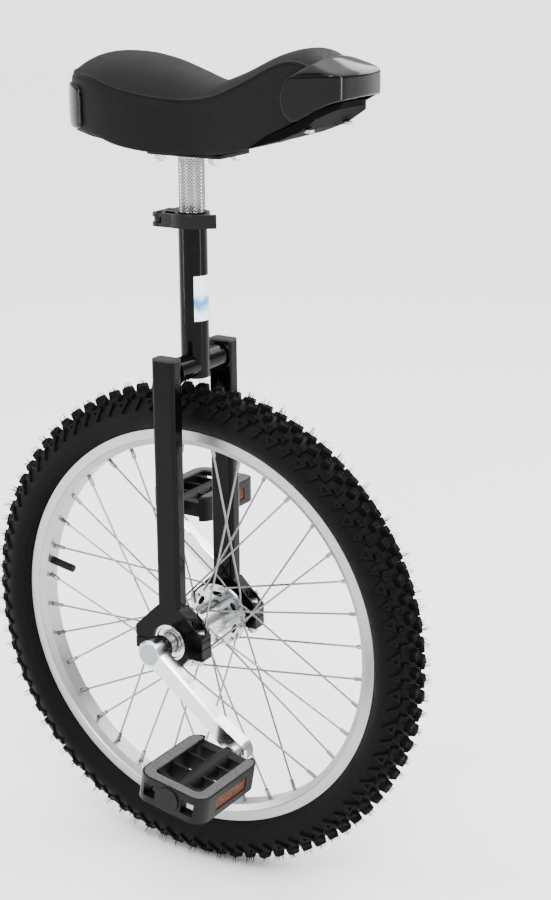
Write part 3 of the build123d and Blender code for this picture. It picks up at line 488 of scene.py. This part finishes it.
# %% [markdown]
# ## The tyre casing
# An off-road tyre is a smooth carcass with rubber lugs on it. The carcass is one section, spun once about
# the axle: a crown, two bellies, a thin moulded line above the rim and the beads that sit inside the rim.

# %% Casing
CASING = [(0, 247.3), (6, 246.9), (11, 245.5), (15.5, 243.2), (19, 240.2), (22, 236.6), (24.3, 232.4),
          (25.6, 227.8), (25.4, 223.2), (23.8, 218.9), (21.4, 215.5), (20.9, 214.6), (19.6, 213.9),
          (17.4, 211.6), (14.4, 210.0), (12.3, 209.4), (12.3, 203.4), (11.7, 203.4), (11.7, 209.9), (17, 213),
          (22.8, 219.6), (24.2, 227.8), (23, 232.4), (20.4, 236.4), (14.6, 242.6), (0, 246.8)]
SECTION = CASING + [(-across, radius) for across, radius in reversed(CASING[1:-1])]
section_ring = [Vector((0, across * MM, AXLE + radius * MM)) for across, radius in SECTION]
casing = start_ring("tyre_casing", section_ring)
bpy.ops.mesh.spin(steps=168, angle=2 * math.pi, center=(0, 0, AXLE), axis=(0, 1, 0), use_auto_merge=True)
close_edit()
smooth(casing, 40)
settle(casing, "wheel", "tyre_rubber", "tyre")
print("casing faces", len(casing.data.polygons))

# %% [markdown]
# ## Tread lugs
# The tread repeats every two pitches: staggered pairs of crown blocks, one shoulder block a side, and a
# wide and a narrow hollow triangle on each flank that point at the rim. One of each is modelled, copied into
# a short unit, and an Array turned about the axle carries that unit all the way round.

# %% One of each lug
UNITS = 42
PITCH = 2 * math.pi / (2 * UNITS)


def tread_block(name, around, across, height, hollow):
    """A tapered block with a bevelled top and a shallow hollow, standing on z = 0 with a sunk foot."""
    clear_selection()
    bpy.ops.mesh.primitive_cube_add(size=1, location=(0, 0, (height - 2) / 2 * MM))
    block = bpy.context.object
    block.name = name
    block.scale = (around * MM, across * MM, (height + 2) * MM)
    bpy.ops.object.transform_apply(location=True, rotation=True, scale=True)
    edit(block)
    pick_faces(block, lambda centre, normal: normal.z > 0.9)
    bpy.ops.transform.resize(value=(0.80, 0.80, 1), center_override=(0, 0, 0))
    bpy.ops.mesh.bevel(offset=0.0007, segments=1, affect="EDGES")
    pick_faces(block, lambda centre, normal: normal.z > 0.99)
    bpy.ops.mesh.inset(thickness=hollow * MM, depth=-0.0009)
    close_edit()
    return block


def flank_lug(name, around, across, height):
    """A hollow triangle that points along +y."""
    clear_selection()
    bpy.ops.mesh.primitive_cylinder_add(vertices=3, radius=1, depth=1, location=(0, 0, (height - 2) / 2 * MM))
    lug = bpy.context.object
    lug.name = name
    lug.scale = (around / 1.732 * MM, across / 1.5 * MM, (height + 2) * MM)
    bpy.ops.object.transform_apply(location=True, rotation=True, scale=True)
    edit(lug)
    pick_faces(lug, lambda centre, normal: abs(normal.z) < 0.5)
    bpy.ops.mesh.bevel(offset=0.0009, segments=2, affect="EDGES")
    pick_faces(lug, lambda centre, normal: normal.z > 0.99)
    bpy.ops.mesh.inset(thickness=0.0020, depth=0.0)
    bpy.ops.mesh.inset(thickness=0.0004, depth=-0.0014)
    close_edit()
    return lug


crown_long = tread_block("crown_long", 11.5, 9.6, 6.6, 2.2)
crown_short = tread_block("crown_short", 9.0, 9.0, 6.4, 1.8)
shoulder_long = tread_block("shoulder_long", 11.5, 9.8, 4.8, 2.0)
shoulder_short = tread_block("shoulder_short", 9.0, 8.4, 4.5, 1.8)
flank_wide = flank_lug("flank_wide", 16.5, 13.5, 1.9)
flank_narrow = flank_lug("flank_narrow", 11.0, 12.0, 1.7)


def on_casing(turn, across, radius, lean, side, twist=0.0):
    """A matrix for a place on the casing: x runs round, y towards the rim, z out of the rubber."""
    radial = Vector((math.sin(turn), 0, math.cos(turn)))
    around = Vector((math.cos(turn), 0, -math.sin(turn))) * side
    out = radial * math.cos(lean) + Vector((0, side, 0)) * math.sin(lean)
    spot = Vector((0, side * across * MM, AXLE)) + radial * radius * MM
    frame_matrix = Matrix((around, out.cross(around), out)).transposed().to_4x4()
    return Matrix.Translation(spot) @ frame_matrix @ Matrix.Rotation(twist, 4, "Z")


# %% The unit, and its array round the wheel
def tread_places():
    """The crown, shoulder and flank places of one unit, as (lug, matrix)."""
    for side in (1, -1):
        stagger = 0.25 * side
        for step, crown, shoulder, flank in ((0, crown_long, shoulder_short, flank_wide),
                                             (1, crown_short, shoulder_long, flank_narrow)):
            yield crown, on_casing((step + stagger) * PITCH, 5.6, 246.8, math.radians(7), side,
                                   math.radians(16))
            yield shoulder, on_casing((step + 0.5 + stagger) * PITCH, 15.4, 243.1, math.radians(33), side,
                                      math.radians(-8))
            yield flank, on_casing((step + 0.05 + stagger) * PITCH, 22.4, 237.6, math.radians(58), side)


def around_wheel(piece, count):
    """Repeat a piece round the axle with an Array whose offset object is turned about it."""
    turner = bpy.data.objects.new("turner", None)
    bpy.context.collection.objects.link(turner)
    turner.matrix_world = (Matrix.Translation((0, 0, AXLE)) @ Matrix.Rotation(2 * math.pi / count, 4, "Y")
                           @ Matrix.Translation((0, 0, -AXLE)))
    bpy.context.view_layer.update()
    apply_modifier(piece, "ARRAY", count=count, use_relative_offset=False, use_object_offset=True,
                   offset_object=turner)
    bpy.data.objects.remove(turner)


places = list(tread_places())
tread = join([copy_to(lug, matrix) for lug, matrix in places], "tyre_tread")
around_wheel(tread, UNITS)
smooth(tread, 25)
settle(tread, "wheel", "tyre_rubber")
print("tread faces", len(tread.data.polygons))

# %% [markdown]
# ## Rubber hairs
# A new tyre still has the whiskers that its mould's vents leave, three or four on each block. One bent
# whisker of six faces is copied on the unit's blocks and repeated with the same array, then each tip is
# bent a little by seeded chance. Any that would reach the floor is taken off, as it is worn off there.

# %% Whiskers
WHISKER_RINGS = [[Vector((r * math.cos(a), r * math.sin(a) + bow, z)) for a in (0.0, 2.094, 4.189)]
                 for r, bow, z in ((0.00042, 0.0, 0.0), (0.00034, 0.0004, 0.0045), (0.00015, 0.0019, 0.0088))]
whisker = loft("whisker", WHISKER_RINGS)
WHISKER_POINTS = len(whisker.data.vertices)
WHISKER_LIMIT = TYRE_RADIUS + 0.0042
chance = random.Random(20)
hairs = []
for lug, matrix in places:
    if lug.name.startswith("flank"):
        continue
    on_crown = lug.name.startswith("crown")
    reach = 0.72 if on_crown else 1.0
    for _ in range(5):
        spot = Matrix.Translation((chance.uniform(-0.0042, 0.0042), chance.uniform(-0.0034, 0.0034),
                                   0.0056 if on_crown else 0.0036))
        turned = Matrix.Rotation(chance.uniform(0, 6.28), 4, "Z")
        leaned = Matrix.Rotation(chance.uniform(0, 0.3), 4, "X")
        sized = Matrix.Scale(reach * chance.uniform(0.8, 1.0), 4)
        hairs.append(copy_to(whisker, matrix @ spot @ turned @ leaned @ sized))
whiskers = join(hairs, "tyre_whiskers")
around_wheel(whiskers, UNITS)
for start in range(0, len(whiskers.data.vertices), WHISKER_POINTS):
    points = whiskers.data.vertices[start:start + WHISKER_POINTS]
    push = Vector([chance.uniform(-0.0016, 0.0016) for _ in range(3)])
    root = sum((p.co for p in points[:3]), Vector()) / 3
    for point in points:
        away = (point.co - root).length / 0.008
        point.co += push * min(1, away) ** 2
        radial = Vector((point.co.x, 0, point.co.z - AXLE))
        if radial.length > WHISKER_LIMIT:
            point.co -= radial.normalized() * (radial.length - WHISKER_LIMIT)
edit(whiskers)
bpy.ops.mesh.select_mode(type="VERT")
bpy.ops.mesh.select_all(action="DESELECT")
mesh = bmesh.from_edit_mesh(whiskers.data)
for vertex in mesh.verts:
    vertex.select_set(vertex.co.z < 0.0004)
bmesh.update_edit_mesh(whiskers.data)
bpy.ops.mesh.select_linked()
bpy.ops.mesh.delete(type="VERT")
close_edit(0.000001)
settle(whiskers, "wheel", "tyre_rubber")
for lug in (crown_long, crown_short, shoulder_long, shoulder_short, flank_wide, flank_narrow, whisker):
    bpy.data.objects.remove(lug)
print("whisker faces", len(whiskers.data.polygons))

# %% [markdown]
# ## The saddle's outline and heights
# Seen from above the saddle is a round seat that narrows to a waist and a blunt nose. Its ridge dips in the
# middle. These lines, in millimetres, place every ring of the skin: the ridge, the sewn seam between the top
# and the side panel, and the lower edge of the side panel where it wraps the plastic base.

# %% Saddle lines
SADDLE = AXLE + 0.483
RIDGE = eased([(-122, 88), (-105, 90.5), (-91, 91), (-68, 88.5), (-30, 83), (1, 74), (37, 62), (75, 76),
               (105, 91), (125, 97), (137, 98.5), (147, 97), (155, 92.5), (163, 84), (172, 75)])
SEAM = eased([(-122, 68), (-85, 67), (-62, 66), (-36, 57), (-19, 53), (-2, 50), (13, 48.4), (24, 47.6),
              (41, 49), (59, 54), (77, 62), (93, 69.6), (112, 80), (127, 86), (137, 87), (150, 84), (163, 76),
              (172, 68)], 3.0)
LOWER = eased([(-122, 20.5), (-112, 19.5), (-80, 17.2), (-59, 15.6), (-42, 8.8), (-27, 5.4), (-3, 1.6),
               (23, 0.9), (53, 1.4), (72, 4), (95, 12), (108, 22), (139, 34.9), (169, 51.4),
               (174, 53.4)], 3.0)
UNDER = [(-122, 24.5), (-112, 24.5), (-80, 16), (-49, 11.5), (-2, 5.5), (31, 4.5), (64, 7.5), (97, 17.5),
         (139, 35), (169, 51.5), (174, 53.5)]


SEAT_CENTRE, SEAT_RADIUS = -50, 70
WAIST_HALF = 43
SPINE_FRONT = 125


def half_outline():
    """The left half of the plan, from the rear centre to the front centre, as evenly spaced points."""
    line = [(SEAT_CENTRE + SEAT_RADIUS * math.cos(math.radians(a)), SEAT_RADIUS * math.sin(math.radians(a)))
            for a in range(180, 89, -3)]
    for x in range(-46, 56, 4):
        s = (55 - x) / 105
        line.append((x, WAIST_HALF + (SEAT_RADIUS - WAIST_HALF) * s * s * (3 - 2 * s)))
    line += [(80, WAIST_HALF), (110, WAIST_HALF), (135, 41.5), (152, 39.2), (161, 33),
             (166.5, 22), (169, 11), (169.6, 0)]
    lengths = [0.0]
    for a, b in zip(line, line[1:]):
        lengths.append(lengths[-1] + math.dist(a, b))
    steps = 48
    even = []
    for i in range(steps + 1):
        goal = lengths[-1] * i / steps
        k = max(j for j in range(len(lengths) - 1) if lengths[j] <= goal + 1e-9)
        t = (goal - lengths[k]) / (lengths[k + 1] - lengths[k])
        even.append(tuple(a + (b - a) * t for a, b in zip(line[k], line[k + 1])))
    return even


HALF = half_outline()
OUTLINE = HALF + [(x, -y) for x, y in reversed(HALF[1:-1])]


def plan_point(x, y, share, grow=0.0):
    """A point between the saddle's middle line (share 0) and its outline (share 1), grown outwards."""
    middle = Vector((min(max(x, SEAT_CENTRE), SPINE_FRONT), 0))
    edge = Vector((x, y))
    out = (edge - middle).normalized()
    return middle + (edge - middle) * share + out * grow


def saddle_ring(share, height, grow=0.0):
    """One ring round the saddle; height(x, outline x, y) gives each point's height over the lowest edge."""
    ring = []
    for x, y in OUTLINE:
        spot = plan_point(x, y, share, grow)
        ring.append(Vector((spot.x * MM, spot.y * MM, SADDLE + height(spot.x, x, y) * MM)))
    return ring


# %% [markdown]
# ## The saddle pad
# The pad is foam under black vinyl in two panels: a crowned top and a tall side, sewn together along a seam
# that sinks between them. Rings run from the underside, round the tucked lower edge, up the side, into the
# seam groove and over the crown to the middle line, and one level of subdivision rounds them.

# %% Pad skin
def crown_height(share, power=2.7):
    def height(x, edge_x, y):
        fall = between(RIDGE, edge_x) - between(SEAM, edge_x)
        return between(RIDGE, x) - fall * share ** power
    return height


def side_height(part):
    """Heights on the side panel: part 0 is its lower edge and 1 the seam."""
    return lambda x, edge_x, y: (between(LOWER, edge_x) * (1 - part) + between(SEAM, edge_x) * part)


def under_height(x, edge_x, y):
    return max(between(UNDER, x) + 0.4, between(LOWER, edge_x) - 6)


pad_rings = [saddle_ring(share, under_height) for share in (0.05, 0.35, 0.7)]
pad_rings += [saddle_ring(1, under_height, -2.8)]
pad_rings += [saddle_ring(1, lambda x, e, y: between(LOWER, e) + 0.7, -2.6),
              saddle_ring(1, lambda x, e, y: between(LOWER, e), -1.6),
              saddle_ring(1, lambda x, e, y: between(LOWER, e) + 1.4, -0.4),
              saddle_ring(1, side_height(0.12), 0.0), saddle_ring(1, side_height(0.35), 0.5),
              saddle_ring(1, side_height(0.62), 0.7), saddle_ring(1, side_height(0.85), 0.3),
              saddle_ring(1, lambda x, e, y: between(SEAM, e) - 2.0, -0.3),
              saddle_ring(1, lambda x, e, y: between(SEAM, e) - 0.5, -0.9),
              saddle_ring(1, lambda x, e, y: between(SEAM, e), -2.2),
              saddle_ring(1, lambda x, e, y: between(SEAM, e) + 0.8, -1.3),
              saddle_ring(0.97, lambda x, e, y: between(SEAM, e) + 2.6, 0.0)]
CROWN_SHARES = (0.92, 0.84, 0.73, 0.6, 0.45, 0.3, 0.15, 0.0)
pad_rings += [saddle_ring(share, crown_height(share)) for share in CROWN_SHARES]
pad = loft("saddle_pad_skin", pad_rings, last_cap=False)
apply_modifier(pad, "SUBSURF", levels=1, render_levels=1)
smooth(pad)
settle(pad, "saddle", "vinyl", "saddle_pad")
print("pad faces", len(pad.data.polygons))

# %% Stitches along the seam, on the top panel just above it
def thread_finish():
    return finish_material("seam_thread", (0.012, 0.012, 0.012), 0.6, marks=200, shine=0.3)


STITCH_LENGTH, STITCH_PITCH, THREAD_RADIUS = 0.0028, 0.0038, 0.00028
clear_selection()
bpy.ops.mesh.primitive_cylinder_add(vertices=6, radius=THREAD_RADIUS, depth=STITCH_LENGTH,
                                    rotation=(0, math.pi / 2, 0))
stitch = bpy.context.object
bpy.ops.object.transform_apply(location=True, rotation=True, scale=True)
edit(stitch)
pick_faces(stitch, lambda centre, normal: abs(normal.x) > 0.9)
bpy.ops.mesh.bevel(offset=0.00015, segments=1, affect="EDGES")
close_edit(0.000001)
stitch_line = saddle_ring(0.965, lambda x, e, y: between(SEAM, e) + 2.95, 0.0)
stitches = []
for first, second in zip(stitch_line, stitch_line[1:] + stitch_line[:1]):
    gap = (second - first).length
    count = max(1, round(gap / STITCH_PITCH))
    facing = (second - first).to_track_quat("X", "Z").to_matrix().to_4x4()
    for i in range(count):
        stitches.append(copy_to(stitch, Matrix.Translation(first.lerp(second, (i + 0.5) / count)) @ facing))
seam_stitches = join(stitches, "saddle_stitches")
bpy.data.objects.remove(stitch)
smooth(seam_stitches)
settle(seam_stitches, "saddle", "vinyl", finish=thread_finish())
print("stitches", len(stitches))

# %% [markdown]
# ## The lift handle
# A glossy moulding hooks over the saddle's nose. Two thin wings run back along the pad, and the nose is a
# hood that is open beneath for the fingers. Its section is carried along a path round the nose: from one
# wing's tip, round the front corners and back, so that wings and hood are one skin.

# %% Handle skin
TOP_LINE = [(127, 58), (129, 66), (132, 73), (137, 76.5), (177, 79), (190, 77)]
FOOT_LINE = [(127, 55), (130, 44), (139, 34.8), (169, 51), (176, 54), (190, 58)]
HANDLE_HALF = 46.8
HANDLE_REAR = 127
SIDE_TAPER = 1.8 / 35
CORNER_CENTRE = Vector((167, 26.5))
CORNER_RADIUS = 18.5
NOSE_BULGE = 2.5
HOOD_START, HOOD_BLEND = 133, 14
HOOD_BACK = 154
HOOD_TOP = 92.8
WALL = 3.4


def handle_path():
    """Stations round the nose: outer point, outward direction, and how much of it is hood."""
    stations = []
    for x in (127.2, 128.5, 130, 133, 137, 142, 148, 155, 162):
        side = Vector((x, HANDLE_HALF - SIDE_TAPER * (x - HANDLE_REAR)))
        stations.append((side, Vector((0.05, 1)).normalized()))
    for angle in range(81, 0, -9):
        a = math.radians(angle)
        out = Vector((math.cos(a), math.sin(a)))
        stations.append((CORNER_CENTRE + out * CORNER_RADIUS, out))
    front = CORNER_CENTRE.x + CORNER_RADIUS
    for y in (20, 13, 6):
        bulge = NOSE_BULGE * (1 - (y / CORNER_CENTRE.y) ** 2)
        stations.append((Vector((front + bulge, y)), Vector((1, 0.007 * y)).normalized()))
    left = [(spot, out, min(1, max(0, (spot.x - HOOD_START) / HOOD_BLEND))) for spot, out in stations]
    middle = [(Vector((front + NOSE_BULGE, 0)), Vector((1, 0)), 1)]
    return left + middle + [(Vector((s.x, -s.y)), Vector((o.x, -o.y)), h) for s, o, h in reversed(left)]


def handle_ring(spot, out, hood):
    """The section at one station: up the outside, over the top, and down the inside."""
    def place(inward, height):
        flat = spot - out * inward
        return Vector((flat.x * MM, flat.y * MM, SADDLE + height * MM))

    foot = between(FOOT_LINE, spot.x)
    top = between(TOP_LINE, spot.x)
    inner = Vector((min(spot.x + 6, HOOD_BACK), spot.y * 0.84))
    crest = HOOD_TOP - 5.5 * (inner.y / 38) ** 2
    ring = [place(0.6, foot), place(0.0, foot + 1.2), place(0.0, foot + (top - foot) * 0.5),
            place(0.0, top - 2.4), place(0.2, top - 0.9), place(1.0, top - 0.1 + 0.5 * hood)]
    for share in (0.14, 0.4, 0.75, 0.96, 1.0):
        wing = spot - out * (1.3 + 1.9 * share)
        flat = wing.lerp(spot.lerp(inner, share), hood)
        roof = top + (crest - top) * share ** 0.8 - (3.0 if share == 1.0 else 0)
        height = (top - 0.2 - 0.8 * share ** 4) * (1 - hood) + roof * hood
        ring.append(Vector((flat.x * MM, flat.y * MM, SADDLE + height * MM)))
    back = spot - out * (WALL + 2.4 * hood)
    ring.append(Vector((back.x * MM, back.y * MM, SADDLE + (top - 1.6 - 4.0 * hood) * MM)))
    ring += [place(WALL + 1.6 * hood, foot + (top - foot) * 0.4), place(WALL + 1.2 * hood, foot + 1.2),
             place(2.8 + 1.2 * hood, foot)]
    return ring


handle = loft("handle_hood", [handle_ring(*station) for station in handle_path()])
apply_modifier(handle, "SUBSURF", levels=2, render_levels=2)
smooth(handle)
settle(handle, "saddle", "gloss_plastic", "lift_handle")
print("handle faces", len(handle.data.polygons))

# %% [markdown]
# ## The rear bumper
# The same kind of skin, shorter: a rounded glossy band round the back of the seat that takes the knocks when
# the unicycle falls. Its ends taper and lie close to the pad.

# %% Bumper skin
def bumper_ring(angle, end):
    """A rounded section at an angle round the seat's centre; end is 0 in the band and 1 at its tips."""
    a = math.radians(angle)
    out = Vector((math.cos(a), math.sin(a)))
    low, high = 20 + 5 * end, 60 - 6 * end
    ring = []
    for radius, height in ((70.8, low), (72.4, low), (73.4, low + 2.5), (73.8, (low + high) / 2),
                           (73.4, high - 2.5), (72.4, high), (70.8, high), (70.4, high - 1.5),
                           (70.4, low + 1.5)):
        spot = Vector((SEAT_CENTRE, 0)) + out * (radius - 1.2 * end * (radius > 71))
        ring.append(Vector((spot.x * MM, spot.y * MM, SADDLE + height * MM)))
    return ring


bumper_angles = [112, 113.5, 116, 121, *range(130, 231, 10), 239, 244, 246.5, 248]
bumper_ends = [1.0, 0.55, 0.2] + [0] * 13 + [0.2, 0.55, 1.0]
bumper = loft("bumper_band", [bumper_ring(a, e) for a, e in zip(bumper_angles, bumper_ends)])
apply_modifier(bumper, "SUBSURF", levels=2, render_levels=2)
smooth(bumper)
settle(bumper, "saddle", "gloss_plastic", "rear_bumper")

# %% [markdown]
# ## The knurled seat post
# The post is plated steel with a diamond knurl so that the clamp can bite. Rings of fifty-two points climb
# the knurled stretch, every other point stands out, and joining the low points across each face leaves
# small pyramids. The bottom, which never leaves the tube, is plain.

# %% Post skin
post_low, post_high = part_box("seat_post")
POST_RADIUS = (post_high[0] - post_low[0]) / 2
KNURLS = 52
KNURL_DEPTH, KNURL_PITCH = 0.42 * MM, 0.0016


def post_ring(height, row=None):
    """A ring of the post; row tells a knurled ring which of its points stand out."""
    ring = []
    for i in range(KNURLS):
        a = 2 * math.pi * i / KNURLS
        sunk = 0.0 if row is None or (i + row) % 2 == 0 else KNURL_DEPTH
        radius = POST_RADIUS - sunk - (0.10 * MM if row is None else 0)
        ring.append(Vector((radius * math.cos(a), radius * math.sin(a), height)))
    return ring


knurl_low, knurl_high = AXLE + 0.352, post_high[2] - 0.004
rows = round((knurl_high - knurl_low) / KNURL_PITCH)
post_rings = [post_ring(post_low[2]), post_ring(post_low[2] + 0.02), post_ring(knurl_low - 0.001)]
post_rings += [post_ring(knurl_low + (knurl_high - knurl_low) * row / rows, row) for row in range(rows + 1)]
post_rings += [post_ring(knurl_high + 0.001), post_ring(post_high[2])]
post = loft("knurled_post", post_rings)
edit(post)
bpy.ops.mesh.select_mode(type="VERT")
bpy.ops.mesh.select_all(action="DESELECT")
mesh = bmesh.from_edit_mesh(post.data)
for vertex in mesh.verts:
    vertex.select_set(math.hypot(vertex.co.x, vertex.co.y) < POST_RADIUS - 0.3 * MM)
bmesh.update_edit_mesh(post.data)
bpy.ops.mesh.vert_connect()
close_edit(0.000001)
settle(post, "saddle", "post_steel", "seat_post")
print("post faces", len(post.data.polygons))

# %% [markdown]
# ## A plain label
# The seat tube carries a small sticker. Here it is a blank one with a soft band of blue, cut from a tube of
# the right radius: the faces at its back are deleted and the rest is given the thickness of film.

# %% Label
tube_low, tube_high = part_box("seat_tube")
LABEL_HEIGHT, LABEL_LENGTH, FILM = 0.341, 0.044, 0.00012
LABEL_RADIUS = (tube_high[1] - tube_low[1]) / 2 + 0.05 * MM
clear_selection()
bpy.ops.mesh.primitive_cylinder_add(vertices=96, radius=LABEL_RADIUS, depth=LABEL_LENGTH,
                                    end_fill_type="NOTHING",
                                    location=(0, 0, AXLE + LABEL_HEIGHT))
label = bpy.context.object
label.name = "blank_label"
bpy.ops.object.transform_apply(location=True, rotation=True, scale=True)
edit(label)
pick_faces(label, lambda centre, normal: abs(math.atan2(centre.y, centre.x) + 0.10) > 0.85)
bpy.ops.mesh.delete(type="FACE")
close_edit(0.000001)
apply_modifier(label, "SOLIDIFY", thickness=FILM, offset=1)
smooth(label, 40)


def label_finish():
    """White film with a clouded blue band across the middle."""
    material = finish_material("label_film", (0.85, 0.88, 0.9), 0.25, coat=0.6)
    tree = material.node_tree
    split = tree.nodes.new("ShaderNodeSeparateXYZ")
    tree.links.new(object_point(tree), split.inputs[0])
    wave = math_node(tree, "MULTIPLY", noise(tree, 70, 2), 0.016)
    above = math_node(tree, "SUBTRACT", split.outputs["Z"], AXLE + LABEL_HEIGHT + 0.003)
    height = math_node(tree, "ADD", above, wave)
    far = math_node(tree, "MULTIPLY", math_node(tree, "ABSOLUTE", height), 90)
    ramp = tree.nodes.new("ShaderNodeValToRGB")
    ramp.color_ramp.elements[0].position, ramp.color_ramp.elements[0].color = 0.15, (0.03, 0.22, 0.50, 1)
    ramp.color_ramp.elements[1].position, ramp.color_ramp.elements[1].color = 0.75, (0.80, 0.87, 0.90, 1)
    middle = ramp.color_ramp.elements.new(0.45)
    middle.color = (0.25, 0.58, 0.78, 1)
    tree.links.new(far, ramp.inputs["Fac"])
    tree.links.new(ramp.outputs["Color"], tree.nodes["Principled BSDF"].inputs["Base Color"])
    return material


settle(label, "frame", "paint", finish=label_finish())
